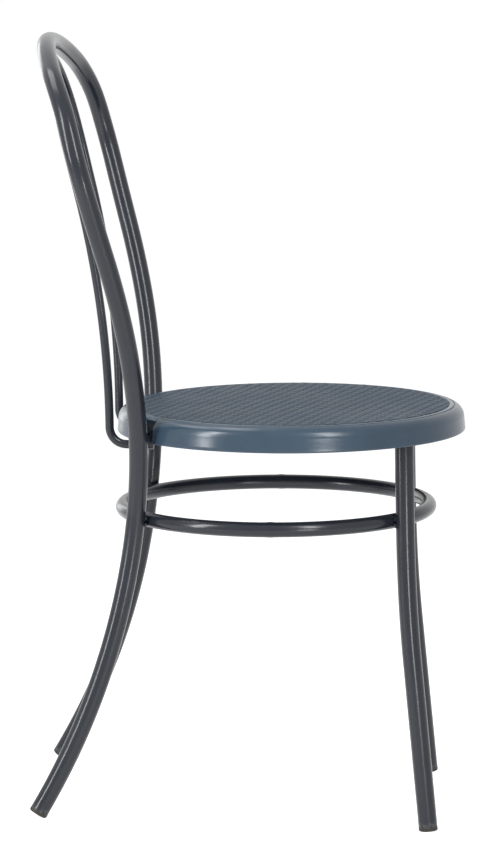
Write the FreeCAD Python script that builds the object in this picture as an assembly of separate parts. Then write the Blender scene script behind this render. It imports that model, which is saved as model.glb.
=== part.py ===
import FreeCAD, Part
import math
import os

from FreeCAD import Rotation, Vector

os.makedirs("parts", exist_ok=True)

# Metal bistro chair. Millimetres, +Z up, front of the chair towards -Y.
# Everything is laid out with Y = 0 under the middle of the seat.
# The last step shifts it so that the origin is the middle of the chair's box on the floor.

# Seat
seat_radius = 200.0
seat_draft = 1.3
seat_top_height = 459.2
seat_skirt_depth = 28.5
seat_edge_height = seat_top_height - seat_skirt_depth
seat_tilt = 1.81
seat_wall = 3.0
seat_edge_round = 13.8
seat_bottom_round = 1.4
field_radius = 182.0
field_rise = 0.6
field_slope_width = 1.0
groove_radius = 187.4
groove_width = 1.0
groove_depth = 0.7
rib_count = 12
rib_thickness = 2.6
rib_inner_radius = 158.0
boss_radius = 6.5
pilot_clearance = 0.05
pilot_depth = 12.0
notch_inner_radius = 189.0
notch_front_setback = 152.0
notch_width = 30.0
notch_overrun = 5.0

# Steel tube and bar
tube_radius = 10.7
tube_wall = 1.5
ring_bar_radius = 8.5
ring_bar_wall = 1.5
inner_bar_radius = 4.9
support_bar_radius = 6.0
weld_gap = 0.03

# Ring between the legs
leg_ring_radius = 176.3
leg_ring_centre_y = 14.8
leg_ring_height = 341.0
leg_ring_tilt = 1.77

# Ring under the seat
support_radius = 175.0
support_drop = 2.5

# Rear legs and back hoop, one tube
foot_half_spacing = 157.0
profile_front_y = 166.6
profile_front_height = 400.0
profile_lower_radius = 810.0
profile_upper_radius = 760.0
crest_height = 866.4
profile_straight_depth = 252.7
profile_straight_from = crest_height - profile_straight_depth
crest_extra_lean = 17.1
crest_lean_depth = 81.4
crest_lean_from = crest_height - crest_lean_depth
hoop_half_width = 217.8
crown_radius = 433.0
crown_half_chord = 150.0
shoulder_turn_below = 15.0
lower_bend_start = 280.0
upper_bend_end = 425.0

# Inner hoop
inner_front_y = 203.2
inner_front_height = 400.0
inner_profile_radius = 1150.0
inner_straight_depth = 166.4
inner_straight_from = crest_height - inner_straight_depth
inner_crest_gap = 0.75
inner_crest_lean = 10.58
inner_crest_extra_lean = 2.3
inner_top_radius = 96.5
inner_foot_half_spacing = 75.0
inner_bend_radius = 19.0
inner_end_y = 153.0

# Front legs
front_foot_y = -172.0
front_lower_slope = 0.127
front_upper_slope = 0.045
front_bend_height = 262.0
front_bend_half = 70.0

# Feet, brackets, tabs and fasteners
cap_thickness = 5.0
cap_edge_round = 1.2
cap_flat_depth = 1.6
cap_stem_length = 14.0
cap_clearance = 0.3
bracket_thickness = 5.0
bracket_height = 11.0
bracket_angle = 54.0
tab_angle = 22.5
tab_width = 20.0
tab_thickness = 3.0
tab_hole_radius = 2.8
tab_screw_radius = 148.0
tab_inner_radius = 137.0
screw_radius = 2.5
screw_head_radius = 4.6
screw_head_height = 2.6
screw_length = 15.0
socket_width = 3.0
socket_depth = 1.5
washer_radius = 6.0
washer_thickness = 1.0
bead_radius = 3.4
bead_offset = 5.0
crest_bead_length = 14.0
crest_bead_radius = 2.2
crest_bead_offset = 3.4
crest_bead_rise = 0.8
support_bead_rise = 1.0

up = Vector(0, 0, 1)
middle = Vector(0, 0, 0)
seat_pivot = Vector(0, 0, (seat_edge_height + seat_top_height) / 2.0)


def unit(vector):
    length = vector.Length
    return Vector(vector.x / length, vector.y / length, vector.z / length)


def biarc(start, start_way, finish, finish_way):
    """Two arcs, or lines, that leave the start and reach the finish along the given ways."""
    span = finish - start
    both = start_way + finish_way
    bend = 2.0 * (1.0 - start_way.dot(finish_way))
    along = span.dot(both)
    if bend < 1e-9:
        reach = span.dot(span) / (2.0 * along)
    else:
        reach = (math.sqrt(along * along + bend * span.dot(span)) - along) / bend
    first_corner = start + start_way * reach
    second_corner = finish - finish_way * reach
    meeting = (first_corner + second_corner) * 0.5
    first = smooth_edge(start, first_corner, meeting)
    second = smooth_edge(meeting, second_corner, finish)
    return [first, second]


def smooth_edge(start, corner, finish):
    """An arc from start to finish that is tangent to the two lines through the corner."""
    chord = finish - start
    rise = corner - (start + finish) * 0.5
    if rise.Length < 1e-4 * chord.Length:
        return Part.LineSegment(start, finish).toShape()
    half = chord.Length / 2.0
    leg = (corner - start).Length
    height = half * (leg - half) / rise.Length
    top = (start + finish) * 0.5 + unit(rise) * height
    return Part.Arc(start, top, finish).toShape()


def chain(stations):
    """A wire of tangent arcs through stations, each a place and the way the bar runs there."""
    edges = []
    for before, after in zip(stations[:-1], stations[1:]):
        edges.extend(biarc(before[0], before[1], after[0], after[1]))
    return Part.Wire(edges)


def mirrored(stations):
    """The same stations on the other side, run through in the opposite order."""
    result = []
    for place, way in reversed(stations):
        other_place = Vector(-place.x, place.y, place.z)
        other_way = Vector(way.x, -way.y, -way.z)
        result.append((other_place, other_way))
    return result


def swept(wire, stations, radius):
    """A round bar along the wire."""
    place, way = stations[0]
    circle = Part.Wire(Part.Circle(place, way, radius).toShape())
    return wire.makePipeShell([circle], True, False)


def bar(stations, radius):
    return swept(chain(stations), stations, radius)


def on_seat(shape):
    """Tips a shape that was laid out level with the seat, so that its front is higher."""
    placed = shape.copy()
    placed.rotate(seat_pivot, Vector(1, 0, 0), -seat_tilt)
    return placed


def seat_point(x, y, z):
    tip = Rotation(Vector(1, 0, 0), -seat_tilt)
    return seat_pivot + tip.multVec(Vector(x, y, z) - seat_pivot)


# Side view of the rear legs and hoop: a long arc, then straight, then a lean at the crest.
def arc_setback(height, front_y, front_height, radius, straight_from):
    top = min(height, straight_from)
    rise = top - front_height
    setback = front_y + radius - math.sqrt(radius * radius - rise * rise)
    slope = rise / math.sqrt(radius * radius - rise * rise)
    return setback + slope * (height - top)


def crest_lean(height, extra, crest):
    over = max(0.0, height - crest_lean_from)
    whole = crest - crest_lean_from
    return extra * (over / whole) ** 2


def hoop_setback(height):
    radius = profile_lower_radius if height < profile_front_height else profile_upper_radius
    plain = arc_setback(
        height, profile_front_y, profile_front_height, radius, profile_straight_from
    )
    return plain + crest_lean(height, crest_extra_lean, crest_height)


def inner_setback(height):
    plain = arc_setback(
        height, inner_front_y, inner_front_height, inner_profile_radius, inner_straight_from
    )
    return plain + crest_lean(height, inner_crest_extra_lean, inner_crest_height)


def station(x, height, x_way, z_way, setback):
    """A place on a hoop and its way, from the front view and the side view together."""
    step = 0.01
    slope = (setback(height + step) - setback(height - step)) / (2.0 * step)
    place = Vector(x, setback(height), height)
    way = unit(Vector(x_way, slope * z_way, z_way))
    return (place, way)


# Front view of the hoop: a crown arc and two shoulder arcs.
crown_centre_height = crest_height - crown_radius
crown_angle = math.asin(crown_half_chord / crown_radius)
shoulder_radius = (hoop_half_width - crown_half_chord) / (1.0 - math.sin(crown_angle))
shoulder_x = hoop_half_width - shoulder_radius
shoulder_height = crown_centre_height + (crown_radius - shoulder_radius) * math.cos(crown_angle)

# The inner hoop's top lies against the underside of the outer tube.
inner_crest_reach = tube_radius + inner_bar_radius
inner_crest_drop = inner_crest_reach * math.cos(math.radians(inner_crest_lean)) + inner_crest_gap
inner_crest_height = crest_height - inner_crest_drop
inner_top_centre = inner_crest_height - inner_top_radius

# The rear legs touch the leg ring from outside.
ring_reach = leg_ring_radius + ring_bar_radius + tube_radius + weld_gap
rear_drop = math.tan(math.radians(leg_ring_tilt)) * (profile_front_y - leg_ring_centre_y)
rear_contact_height = leg_ring_height - rear_drop
rear_contact_y = hoop_setback(rear_contact_height)
rear_contact_x = math.sqrt(ring_reach ** 2 - (rear_contact_y - leg_ring_centre_y) ** 2)


def front_y(height):
    """Side view of a front leg: two straights with a long bend between them."""
    start = front_bend_height - front_bend_half
    bent = min(max(height - start, 0.0), 2.0 * front_bend_half)
    over = max(height - start - 2.0 * front_bend_half, 0.0)
    change = front_upper_slope - front_lower_slope
    rise = front_lower_slope * height
    rise = rise + change * bent * bent / (4.0 * front_bend_half)
    return front_foot_y + rise + change * over


front_drop = math.tan(math.radians(leg_ring_tilt)) * (front_y(leg_ring_height) - leg_ring_centre_y)
front_contact_height = leg_ring_height - front_drop
front_contact_y = front_y(front_contact_height)
front_contact_x = math.sqrt(ring_reach ** 2 - (front_contact_y - leg_ring_centre_y) ** 2)


def foot_rise(lean):
    """Height of the tube's end over the floor for a leg that leans by this angle."""
    edge = tube_radius * math.sin(lean)
    return cap_thickness * math.cos(lean) + edge - cap_flat_depth


def lean_of(x_slope, y_slope):
    return math.atan(math.hypot(x_slope, y_slope))


# Rear leg in front view: straight, a bend at the ring, then straight out to the shoulder.
shoulder_turn = math.radians(shoulder_turn_below)
shoulder_end_x = shoulder_x + shoulder_radius * math.cos(shoulder_turn)
shoulder_end_height = shoulder_height - shoulder_radius * math.sin(shoulder_turn)
lower_share = (rear_contact_height - lower_bend_start) / (2.0 * lower_bend_start)
lower_bend_x = (rear_contact_x + lower_share * foot_half_spacing) / (1.0 + lower_share)
lower_slope = (lower_bend_x - foot_half_spacing) / lower_bend_start
upper_run = shoulder_end_height - upper_bend_end
upper_share = (upper_bend_end - rear_contact_height) / (2.0 * upper_run)
upper_bend_x = (rear_contact_x + upper_share * shoulder_end_x) / (1.0 + upper_share)
upper_slope = (shoulder_end_x - upper_bend_x) / upper_run
rear_foot_y_slope = hoop_setback(1.0) - hoop_setback(0.0)
rear_end_height = foot_rise(lean_of(lower_slope, rear_foot_y_slope))


def hoop_half_stations():
    """Stations of the left half of the outer tube, from the foot to the crest."""
    result = []
    low_x = foot_half_spacing + lower_slope * rear_end_height
    result.append(station(low_x, rear_end_height, lower_slope, 1.0, hoop_setback))
    half_height = lower_bend_start / 2.0
    half_x = foot_half_spacing + lower_slope * half_height
    result.append(station(half_x, half_height, lower_slope, 1.0, hoop_setback))
    result.append(station(lower_bend_x, lower_bend_start, lower_slope, 1.0, hoop_setback))
    result.append(station(rear_contact_x, rear_contact_height, 0.0, 1.0, hoop_setback))
    result.append(station(upper_bend_x, upper_bend_end, upper_slope, 1.0, hoop_setback))
    mid_height = 0.5 * (upper_bend_end + shoulder_end_height)
    mid_x = 0.5 * (upper_bend_x + shoulder_end_x)
    result.append(station(mid_x, mid_height, upper_slope, 1.0, hoop_setback))
    turn_end = 90.0 - math.degrees(crown_angle)
    for step in range(5):
        angle = math.radians(-shoulder_turn_below + (turn_end + shoulder_turn_below) * step / 4.0)
        x = shoulder_x + shoulder_radius * math.cos(angle)
        height = shoulder_height + shoulder_radius * math.sin(angle)
        result.append(station(x, height, -math.sin(angle), math.cos(angle), hoop_setback))
    for step in range(1, 3):
        angle = crown_angle * (1.0 - step / 2.0)
        x = crown_radius * math.sin(angle)
        height = crown_centre_height + crown_radius * math.cos(angle)
        result.append(station(x, height, -math.cos(angle), math.sin(angle), hoop_setback))
    return result


def inner_half_stations():
    """Stations of the left half of the inner hoop, from its forward end to the crest."""
    bar_height = support_bottom_at(inner_foot_half_spacing) - inner_bar_radius
    result = []
    forward = Vector(0, 1, 0)
    result.append((Vector(inner_foot_half_spacing, inner_end_y, bar_height), forward))
    side_top_x = inner_top_radius
    side_height = inner_top_centre
    slope = (side_top_x - inner_foot_half_spacing) / (side_height - bar_height)
    bend_top = bar_height + inner_bend_radius
    bend_start_y = inner_setback(bend_top) - inner_bend_radius
    result.append((Vector(inner_foot_half_spacing, bend_start_y, bar_height), forward))
    for height in (bend_top, 0.5 * (bend_top + inner_straight_from), inner_straight_from):
        x = inner_foot_half_spacing + slope * (height - bend_top)
        result.append(station(x, height, slope, 1.0, inner_setback))
    for degrees in (0.0, 30.0, 60.0, 90.0):
        angle = math.radians(degrees)
        x = inner_top_radius * math.cos(angle)
        height = inner_top_centre + inner_top_radius * math.sin(angle)
        result.append(station(x, height, -math.sin(angle), math.cos(angle), inner_setback))
    return result


support_height = seat_edge_height + support_drop


def support_bottom_at(x):
    """Lowest height of the support ring behind the seat, at this distance from the middle."""
    y = math.sqrt(support_radius ** 2 - x ** 2)
    low = seat_point(x, y, support_height)
    return low.z - support_bar_radius


def front_leg_stations():
    """Stations of the left front leg, from the foot to the support ring."""
    slope = (front_contact_x - foot_half_spacing) / front_contact_height
    end = foot_rise(lean_of(slope, front_lower_slope))
    top = front_top_place()
    heights = [end, front_bend_height - front_bend_half, front_contact_height, top.z]
    result = []
    for height in heights[:3]:
        x = foot_half_spacing + slope * height
        result.append(station(x, height, slope, 1.0, front_y))
    top_slope = 2.0 * (top.x - front_contact_x) / (top.z - front_contact_height) - slope
    result.append(station(top.x, top.z, top_slope, 1.0, front_y))
    return result


def front_top_place():
    """Where the front leg meets the middle of the support ring's bar."""
    height = support_height
    for turn in range(6):
        y = front_y(height)
        x = math.sqrt(support_radius ** 2 - y ** 2)
        height = seat_point(x, y, support_height).z
    return Vector(x, front_y(height), height)


def disc_ring(centre_radius, bar_radius, height):
    return Part.makeTorus(centre_radius, bar_radius, Vector(0, 0, height), up)


def make_support_ring():
    return on_seat(disc_ring(support_radius, support_bar_radius, support_height))


def leg_ring_solid(bar_radius):
    ring = disc_ring(leg_ring_radius, bar_radius, 0.0)
    ring.rotate(middle, Vector(1, 0, 0), -leg_ring_tilt)
    ring.translate(Vector(0, leg_ring_centre_y, leg_ring_height))
    return ring


def hoop_solid(bar_radius):
    half = hoop_half_stations()
    return bar(half + mirrored(half)[1:], bar_radius)


def make_inner_hoop():
    half = inner_half_stations()
    return bar(half + mirrored(half)[1:], inner_bar_radius)


def other_side(shape):
    return shape.mirror(middle, Vector(1, 0, 0))


def outline(start, steps):
    """A flat face from a start point and steps: one point for a line, two for an arc."""
    edges = []
    here = start
    for step in steps:
        if len(step) == 2:
            edges.append(Part.Arc(here, step[0], step[1]).toShape())
        else:
            edges.append(Part.LineSegment(here, step[0]).toShape())
        here = step[-1]
    return Part.Face(Part.Wire(edges))


def flat(radius, height):
    return Vector(radius, 0, height)


def quarter_point(centre_r, centre_h, radius, degrees):
    angle = math.radians(degrees)
    return flat(centre_r + radius * math.cos(angle), centre_h + radius * math.sin(angle))


seat_under = seat_top_height - seat_wall
seat_side_top = seat_top_height - seat_edge_round
seat_high_radius = seat_radius - seat_draft
seat_flat_radius = seat_high_radius - seat_edge_round
support_top = support_height + support_bar_radius
tab_low = support_height - tab_thickness / 2.0
tab_high = support_height + tab_thickness / 2.0


def seat_outside():
    """The outer face of the seat in half section, bottom edge to flat top."""
    low = seat_edge_height
    bottom_r = seat_radius - seat_bottom_round
    bottom_mid = quarter_point(bottom_r, low + seat_bottom_round, seat_bottom_round, -45.0)
    top_mid = quarter_point(seat_flat_radius, seat_side_top, seat_edge_round, 45.0)
    steps = [
        (bottom_mid, flat(seat_radius, low + seat_bottom_round)),
        (flat(seat_high_radius, seat_side_top),),
        (top_mid, flat(seat_flat_radius, seat_top_height)),
    ]
    return flat(bottom_r, low), steps


def full_turn(face):
    return face.revolve(middle, up, 360)


def seat_skin():
    """The moulded skin: skirt, rounded edge, rim, and the raised field of the seat."""
    start, steps = seat_outside()
    inner_round = seat_edge_round - seat_wall
    inner_mid = quarter_point(seat_flat_radius, seat_side_top, inner_round, 45.0)
    field_top = seat_top_height + field_rise
    steps.append((flat(field_radius + field_slope_width, seat_top_height),))
    steps.append((flat(field_radius, field_top),))
    steps.append((flat(0, field_top),))
    steps.append((flat(0, seat_under),))
    steps.append((flat(seat_flat_radius, seat_under),))
    steps.append((inner_mid, flat(seat_high_radius - seat_wall, seat_side_top)))
    steps.append((flat(seat_radius - seat_wall, seat_edge_height),))
    steps.append((start,))
    return full_turn(outline(start, steps))


def seat_groove():
    """The fine groove that runs round the rim."""
    depth = seat_edge_round
    over = groove_radius + groove_width / 2.0 - seat_flat_radius
    edge_drop = seat_edge_round - math.sqrt(seat_edge_round ** 2 - over ** 2)
    low = seat_top_height - edge_drop - groove_depth
    outer = Part.makeCylinder(groove_radius + groove_width / 2.0, depth, Vector(0, 0, low))
    inner = Part.makeCylinder(groove_radius - groove_width / 2.0, depth, Vector(0, 0, low))
    return outer.cut(inner)


def seat_filled():
    start, steps = seat_outside()
    steps.append((flat(0, seat_top_height),))
    steps.append((flat(0, seat_edge_height),))
    steps.append((start,))
    return full_turn(outline(start, steps))


def turned(shape, degrees):
    shape.rotate(middle, up, degrees)
    return shape


def seat_ribs():
    """Short ribs under the edge of the seat that run out to the skirt and rest on the ring."""
    depth = seat_under + 1.0 - support_top
    ribs = []
    for index in range(rib_count):
        corner = Vector(rib_inner_radius, -rib_thickness / 2.0, support_top)
        length = seat_radius - rib_inner_radius
        rib = Part.makeBox(length, rib_thickness, depth, corner)
        ribs.append(turned(rib, index * 360.0 / rib_count))
    return ribs[0].multiFuse(ribs[1:]).common(seat_filled())


def tab_angles():
    """Directions of the four screw tabs, from the left side round."""
    return [-tab_angle, tab_angle, 180.0 - tab_angle, 180.0 + tab_angle]


def at_tab(shape, degrees):
    moved = shape.copy()
    moved.translate(Vector(tab_screw_radius, 0, 0))
    return turned(moved, degrees)


def seat_bosses():
    depth = seat_under + 1.0 - tab_high
    boss = Part.makeCylinder(boss_radius, depth, Vector(0, 0, tab_high))
    return [at_tab(boss, degrees) for degrees in tab_angles()]


def boss_holes():
    hole = Part.makeCylinder(screw_radius + pilot_clearance, pilot_depth, Vector(0, 0, tab_high))
    return [at_tab(hole, degrees) for degrees in tab_angles()]


def seat_notches():
    """Slots through the skirt and the rounded edge, where the rear legs come close."""
    front_angle = math.degrees(math.asin(notch_front_setback / seat_radius))
    half_angle = math.degrees(math.asin(notch_width / 2.0 / seat_radius))
    depth = seat_radius - notch_inner_radius + notch_overrun
    height = seat_top_height - seat_edge_height + 2.0 * notch_overrun
    corner = Vector(notch_inner_radius, -notch_width / 2.0, seat_edge_height - notch_overrun)
    slot = Part.makeBox(depth, notch_width, height, corner)
    first = turned(slot.copy(), front_angle + half_angle)
    second = turned(slot.copy(), 180.0 - front_angle - half_angle)
    return [first, second]


def make_seat_shell():
    shell = seat_skin().fuse(seat_ribs()).multiFuse(seat_bosses())
    for cutter in boss_holes() + seat_notches() + [seat_groove()]:
        shell = shell.cut(cutter)
    return on_seat(shell.removeSplitter())


def make_tab(support, degrees):
    """A flat tab on the inside of the support ring, with a hole for its screw."""
    length = support_radius - tab_inner_radius
    corner = Vector(tab_inner_radius - tab_screw_radius, -tab_width / 2.0, tab_low)
    plate = Part.makeBox(length, tab_width, tab_thickness, corner)
    hole = Part.makeCylinder(tab_hole_radius, tab_thickness + 2.0, Vector(0, 0, tab_low - 1.0))
    return on_seat(at_tab(plate.cut(hole), degrees)).cut(support)


def hexagon(across, height, low):
    corners = []
    for index in range(7):
        angle = math.radians(60.0 * index)
        reach = across / math.sqrt(3.0)
        corners.append(Vector(reach * math.cos(angle), reach * math.sin(angle), low))
    return Part.Face(Part.makePolygon(corners)).extrude(Vector(0, 0, height))


def make_screws():
    """Four socket-head screws that go up through the tabs into the seat."""
    head_high = tab_low - washer_thickness
    head_low = head_high - screw_head_height
    head = Part.makeCylinder(screw_head_radius, screw_head_height, Vector(0, 0, head_low))
    head = head.makeFillet(0.6, [head.Edges[2]])
    shank = Part.makeCylinder(screw_radius, screw_length, Vector(0, 0, head_high))
    screw = head.fuse(shank).cut(hexagon(socket_width, socket_depth, head_low))
    return Part.Compound([on_seat(at_tab(screw, degrees)) for degrees in tab_angles()])


def make_washers():
    low = tab_low - washer_thickness
    washer = Part.makeCylinder(washer_radius, washer_thickness, Vector(0, 0, low))
    hole = Part.makeCylinder(tab_hole_radius, washer_thickness, Vector(0, 0, low))
    washer = washer.cut(hole)
    return Part.Compound([on_seat(at_tab(washer, degrees)) for degrees in tab_angles()])


def make_bracket(support, hoop):
    """A bar on edge that carries the left side of the support ring on the rear leg."""
    angle = math.radians(bracket_angle)
    ring_x = support_radius * math.cos(angle)
    ring_y = support_radius * math.sin(angle)
    start = seat_point(ring_x, ring_y, support_height)
    leg_x = upper_bend_x + upper_slope * (start.z - upper_bend_end)
    finish = Vector(leg_x, hoop_setback(start.z), start.z)
    run = finish - start
    corner = Vector(0, -bracket_thickness / 2.0, -bracket_height / 2.0)
    bracket = Part.makeBox(run.Length, bracket_thickness, bracket_height, corner)
    bracket.rotate(middle, up, math.degrees(math.atan2(run.y, run.x)))
    bracket.translate(start)
    return bracket.cut(support).cut(hoop)


def make_cap(stations):
    """A foot plug: a flange as wide as the tube, a stem in its bore, and a flat on the floor."""
    place, way = stations[0]
    down = way * -1.0
    flange = Part.makeCylinder(tube_radius, cap_thickness, place, down)
    bottom = place + down * cap_thickness
    rims = [edge for edge in flange.Edges if (edge.CenterOfMass - bottom).Length < 0.1]
    flange = flange.makeFillet(cap_edge_round, rims)
    stem_radius = tube_radius - tube_wall - cap_clearance
    stem = Part.makeCylinder(stem_radius, cap_stem_length, place, way)
    reach = 4.0 * tube_radius
    corner = Vector(place.x - reach, place.y - reach, -reach)
    below = Part.makeBox(2.0 * reach, 2.0 * reach, reach, corner)
    return flange.fuse(stem).cut(below)


def ring_beads(contact_x, contact_y, contact_height, ring, leg):
    """Weld beads above and below the place where the leg ring touches a leg."""
    out = unit(Vector(contact_x, contact_y - leg_ring_centre_y, 0))
    touch = Vector(contact_x, contact_y, contact_height) - out * tube_radius
    beads = []
    for side in (1.0, -1.0):
        centre = touch - out + up * (side * bead_offset)
        bead = Part.makeSphere(bead_radius, centre)
        beads.append(bead.cut(ring).cut(leg))
    return beads


def front_leg_by_ring():
    """A straight stand-in for the front leg where it passes the leg ring."""
    place, way = front_leg_stations()[2]
    start = place - way * (4.0 * bead_radius)
    return Part.makeCylinder(tube_radius + weld_gap, 8.0 * bead_radius, start, way)


def make_ring_welds(ring, hoop):
    leg = front_leg_by_ring()
    beads = ring_beads(rear_contact_x, rear_contact_y, rear_contact_height, ring, hoop)
    beads += ring_beads(front_contact_x, front_contact_y, front_contact_height, ring, leg)
    beads += [other_side(bead) for bead in beads]
    return Part.Compound(beads)


def make_crest_welds(hoop, inner):
    """Two short beads, before and behind, where the inner hoop meets the outer tube."""
    low = Vector(0, inner_setback(inner_crest_height), inner_crest_height)
    high = Vector(0, hoop_setback(crest_height), crest_height)
    way = unit(high - low)
    touch = low + way * inner_bar_radius
    across = Vector(0, way.z, -way.y)
    beads = []
    for side in (1.0, -1.0):
        start = touch + across * (side * crest_bead_offset) + way * crest_bead_rise
        start = start - Vector(crest_bead_length / 2.0, 0, 0)
        bead = Part.makeCylinder(crest_bead_radius, crest_bead_length, start, Vector(1, 0, 0))
        beads.append(bead.cut(hoop).cut(inner))
    return Part.Compound(beads)


def make_support_welds(support, inner):
    """Beads where the inner hoop's ends are fixed under the support ring."""
    x = inner_foot_half_spacing
    y = math.sqrt(support_radius ** 2 - x ** 2)
    touch = Vector(x, y, support_bottom_at(x))
    beads = []
    for side in (1.0, -1.0):
        centre = touch + Vector(0, side * bead_offset, support_bead_rise)
        bead = Part.makeSphere(bead_radius, centre).cut(support).cut(inner)
        beads.append(bead)
        beads.append(other_side(bead))
    return Part.Compound(beads)


def build_nodes():
    """Every node of the chair by name, laid out about the middle of the seat."""
    support = make_support_ring()
    hoop = hoop_solid(tube_radius)
    inner = make_inner_hoop()
    leg_ring = leg_ring_solid(ring_bar_radius)
    front_solid = bar(front_leg_stations(), tube_radius)
    front_bore = bar(front_leg_stations(), tube_radius - tube_wall)
    front_leg = front_solid.cut(front_bore).cut(support)
    bracket = make_bracket(support, hoop)
    front_cap = make_cap(front_leg_stations())
    rear_cap = make_cap(hoop_half_stations())
    tabs = [make_tab(support, degrees) for degrees in tab_angles()]
    return {
        "hoop_and_rear_legs": hoop.cut(hoop_solid(tube_radius - tube_wall)),
        "inner_back_hoop": inner,
        "front_leg_left": front_leg,
        "front_leg_right": other_side(front_leg),
        "leg_ring": leg_ring.cut(leg_ring_solid(ring_bar_radius - ring_bar_wall)),
        "seat_support_ring": support,
        "rear_bracket_left": bracket,
        "rear_bracket_right": other_side(bracket),
        "seat_tab_front_left": tabs[0],
        "seat_tab_rear_left": tabs[1],
        "seat_tab_rear_right": tabs[2],
        "seat_tab_front_right": tabs[3],
        "seat_shell": make_seat_shell(),
        "seat_screws": make_screws(),
        "seat_washers": make_washers(),
        "foot_cap_front_left": front_cap,
        "foot_cap_front_right": other_side(front_cap),
        "foot_cap_rear_left": rear_cap,
        "foot_cap_rear_right": other_side(rear_cap),
        "leg_ring_welds": make_ring_welds(leg_ring, hoop),
        "hoop_crest_welds": make_crest_welds(hoop, inner),
        "support_ring_welds": make_support_welds(support, inner),
    }


def shift_to_centre(nodes):
    """The move that brings the middle of the chair's box, front to back, over the origin."""
    whole = FreeCAD.BoundBox()
    for shape in nodes.values():
        whole.add(shape.optimalBoundingBox(False, False))
    return Vector(0, -(whole.YMin + whole.YMax) / 2.0, 0)


nodes = build_nodes()
shift = shift_to_centre(nodes)
for name, shape in nodes.items():
    shape.translate(shift)
    shape.exportStep("parts/" + name + ".step")
    print(name, len(shape.Solids), round(shape.Volume, 1), shape.isValid())
print("moved back by", round(shift.y, 3))
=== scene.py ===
import logging
import math
from collections.abc import Callable, Iterable, Sequence
from dataclasses import dataclass
from enum import Enum
from functools import cached_property

import bmesh
import bpy
from bmesh.types import BMEdge, BMesh, BMVert
from mathutils import Matrix, Vector


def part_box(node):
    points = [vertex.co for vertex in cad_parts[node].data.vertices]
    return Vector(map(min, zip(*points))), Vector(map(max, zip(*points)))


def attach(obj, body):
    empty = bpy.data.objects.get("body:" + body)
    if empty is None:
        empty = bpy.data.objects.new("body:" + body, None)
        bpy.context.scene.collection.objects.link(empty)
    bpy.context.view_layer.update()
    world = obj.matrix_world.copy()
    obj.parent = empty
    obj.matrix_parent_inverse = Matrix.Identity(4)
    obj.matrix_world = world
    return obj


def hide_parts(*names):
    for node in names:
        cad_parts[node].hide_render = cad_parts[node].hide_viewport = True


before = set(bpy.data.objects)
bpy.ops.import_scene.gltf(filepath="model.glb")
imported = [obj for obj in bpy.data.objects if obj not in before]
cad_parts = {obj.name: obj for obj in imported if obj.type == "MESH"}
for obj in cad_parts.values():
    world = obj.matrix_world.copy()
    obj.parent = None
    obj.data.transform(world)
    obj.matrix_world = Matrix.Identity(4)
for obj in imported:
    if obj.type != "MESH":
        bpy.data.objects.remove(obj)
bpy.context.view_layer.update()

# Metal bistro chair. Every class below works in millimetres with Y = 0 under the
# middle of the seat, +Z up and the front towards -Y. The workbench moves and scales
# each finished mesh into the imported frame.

log = logging.getLogger("bistro_chair")

Tone = tuple[float, float, float]
FULL_TURN = 2.0 * math.pi
METRES = 0.001
STRAIGHT_TURN = 1e-4
LONGEST_ARC_STEP = math.radians(4.0)
TUBE_SEGMENTS = 48
WEAR_FROM_DEGREES = 12.0
WEAR_SPAN_DEGREES = 40.0


class Slot(Enum):
    """The names of the record's material slots."""

    FRAME = "frame_steel"
    SEAT = "seat_plastic"
    CAP = "cap_plastic"


class Side(Enum):
    """The chair's two sides, from the sitter's seat, with their sign along X."""

    LEFT = 1
    RIGHT = -1

    @property
    def word(self) -> str:
        """The side's name as piece names use it."""
        return self.name.lower()


@dataclass(frozen=True)
class Station:
    """A place on a bar's centre line and the way the bar runs there."""

    place: Vector
    way: Vector

    def across(self) -> "Station":
        """The same station on the other side, run through the opposite way."""
        place, way = self.place, self.way
        return Station(Vector((-place.x, place.y, place.z)), Vector((way.x, -way.y, -way.z)))


class SideView:
    """The side view of a bar: how far back it lies at each height."""

    def setback(self, height: float) -> float:
        """Y of the bar's centre line at a height."""
        raise NotImplementedError

    def station(self, x: float, height: float, x_way: float, z_way: float) -> Station:
        """A station from the front view and the side view together.

        Args:
            x: distance from the middle plane.
            height: height over the floor.
            x_way: sideways part of the way the bar runs in the front view.
            z_way: upward part of that way.

        Returns:
            The station on the bar's centre line.
        """
        step = 0.01
        slope = (self.setback(height + step) - self.setback(height - step)) / (2.0 * step)
        way = Vector((x_way, slope * z_way, z_way)).normalized()
        return Station(Vector((x, self.setback(height), height)), way)


@dataclass(frozen=True)
class HoopSide(SideView):
    """Side view of a hoop: a long arc, then straight, then a lean at the crest."""

    front_y: float
    lower_radius: float
    upper_radius: float
    straight_from: float
    extra_lean: float
    crest: float
    front_height: float = 400.0
    lean_from: float = 785.0

    def setback(self, height: float) -> float:
        """Y of the hoop's centre line at a height."""
        top = min(height, self.straight_from)
        rise = top - self.front_height
        radius = self.lower_radius if rise < 0.0 else self.upper_radius
        drop = math.sqrt(radius ** 2 - rise ** 2)
        lean = max(0.0, height - self.lean_from) / (self.crest - self.lean_from)
        arc = self.front_y + radius - drop
        return arc + rise / drop * (height - top) + self.extra_lean * lean ** 2


@dataclass(frozen=True)
class LegSide(SideView):
    """Side view of a front leg: two straights with a long bend between them."""

    foot_y: float = -172.0
    lower_slope: float = 0.127
    upper_slope: float = 0.045
    bend_height: float = 262.0
    bend_half: float = 70.0

    def setback(self, height: float) -> float:
        """Y of the leg's centre line at a height."""
        start = self.bend_height - self.bend_half
        bent = min(max(height - start, 0.0), 2.0 * self.bend_half)
        over = max(height - start - 2.0 * self.bend_half, 0.0)
        change = self.upper_slope - self.lower_slope
        rise = self.lower_slope * height + change * bent * bent / (4.0 * self.bend_half)
        return self.foot_y + rise + change * over


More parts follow.
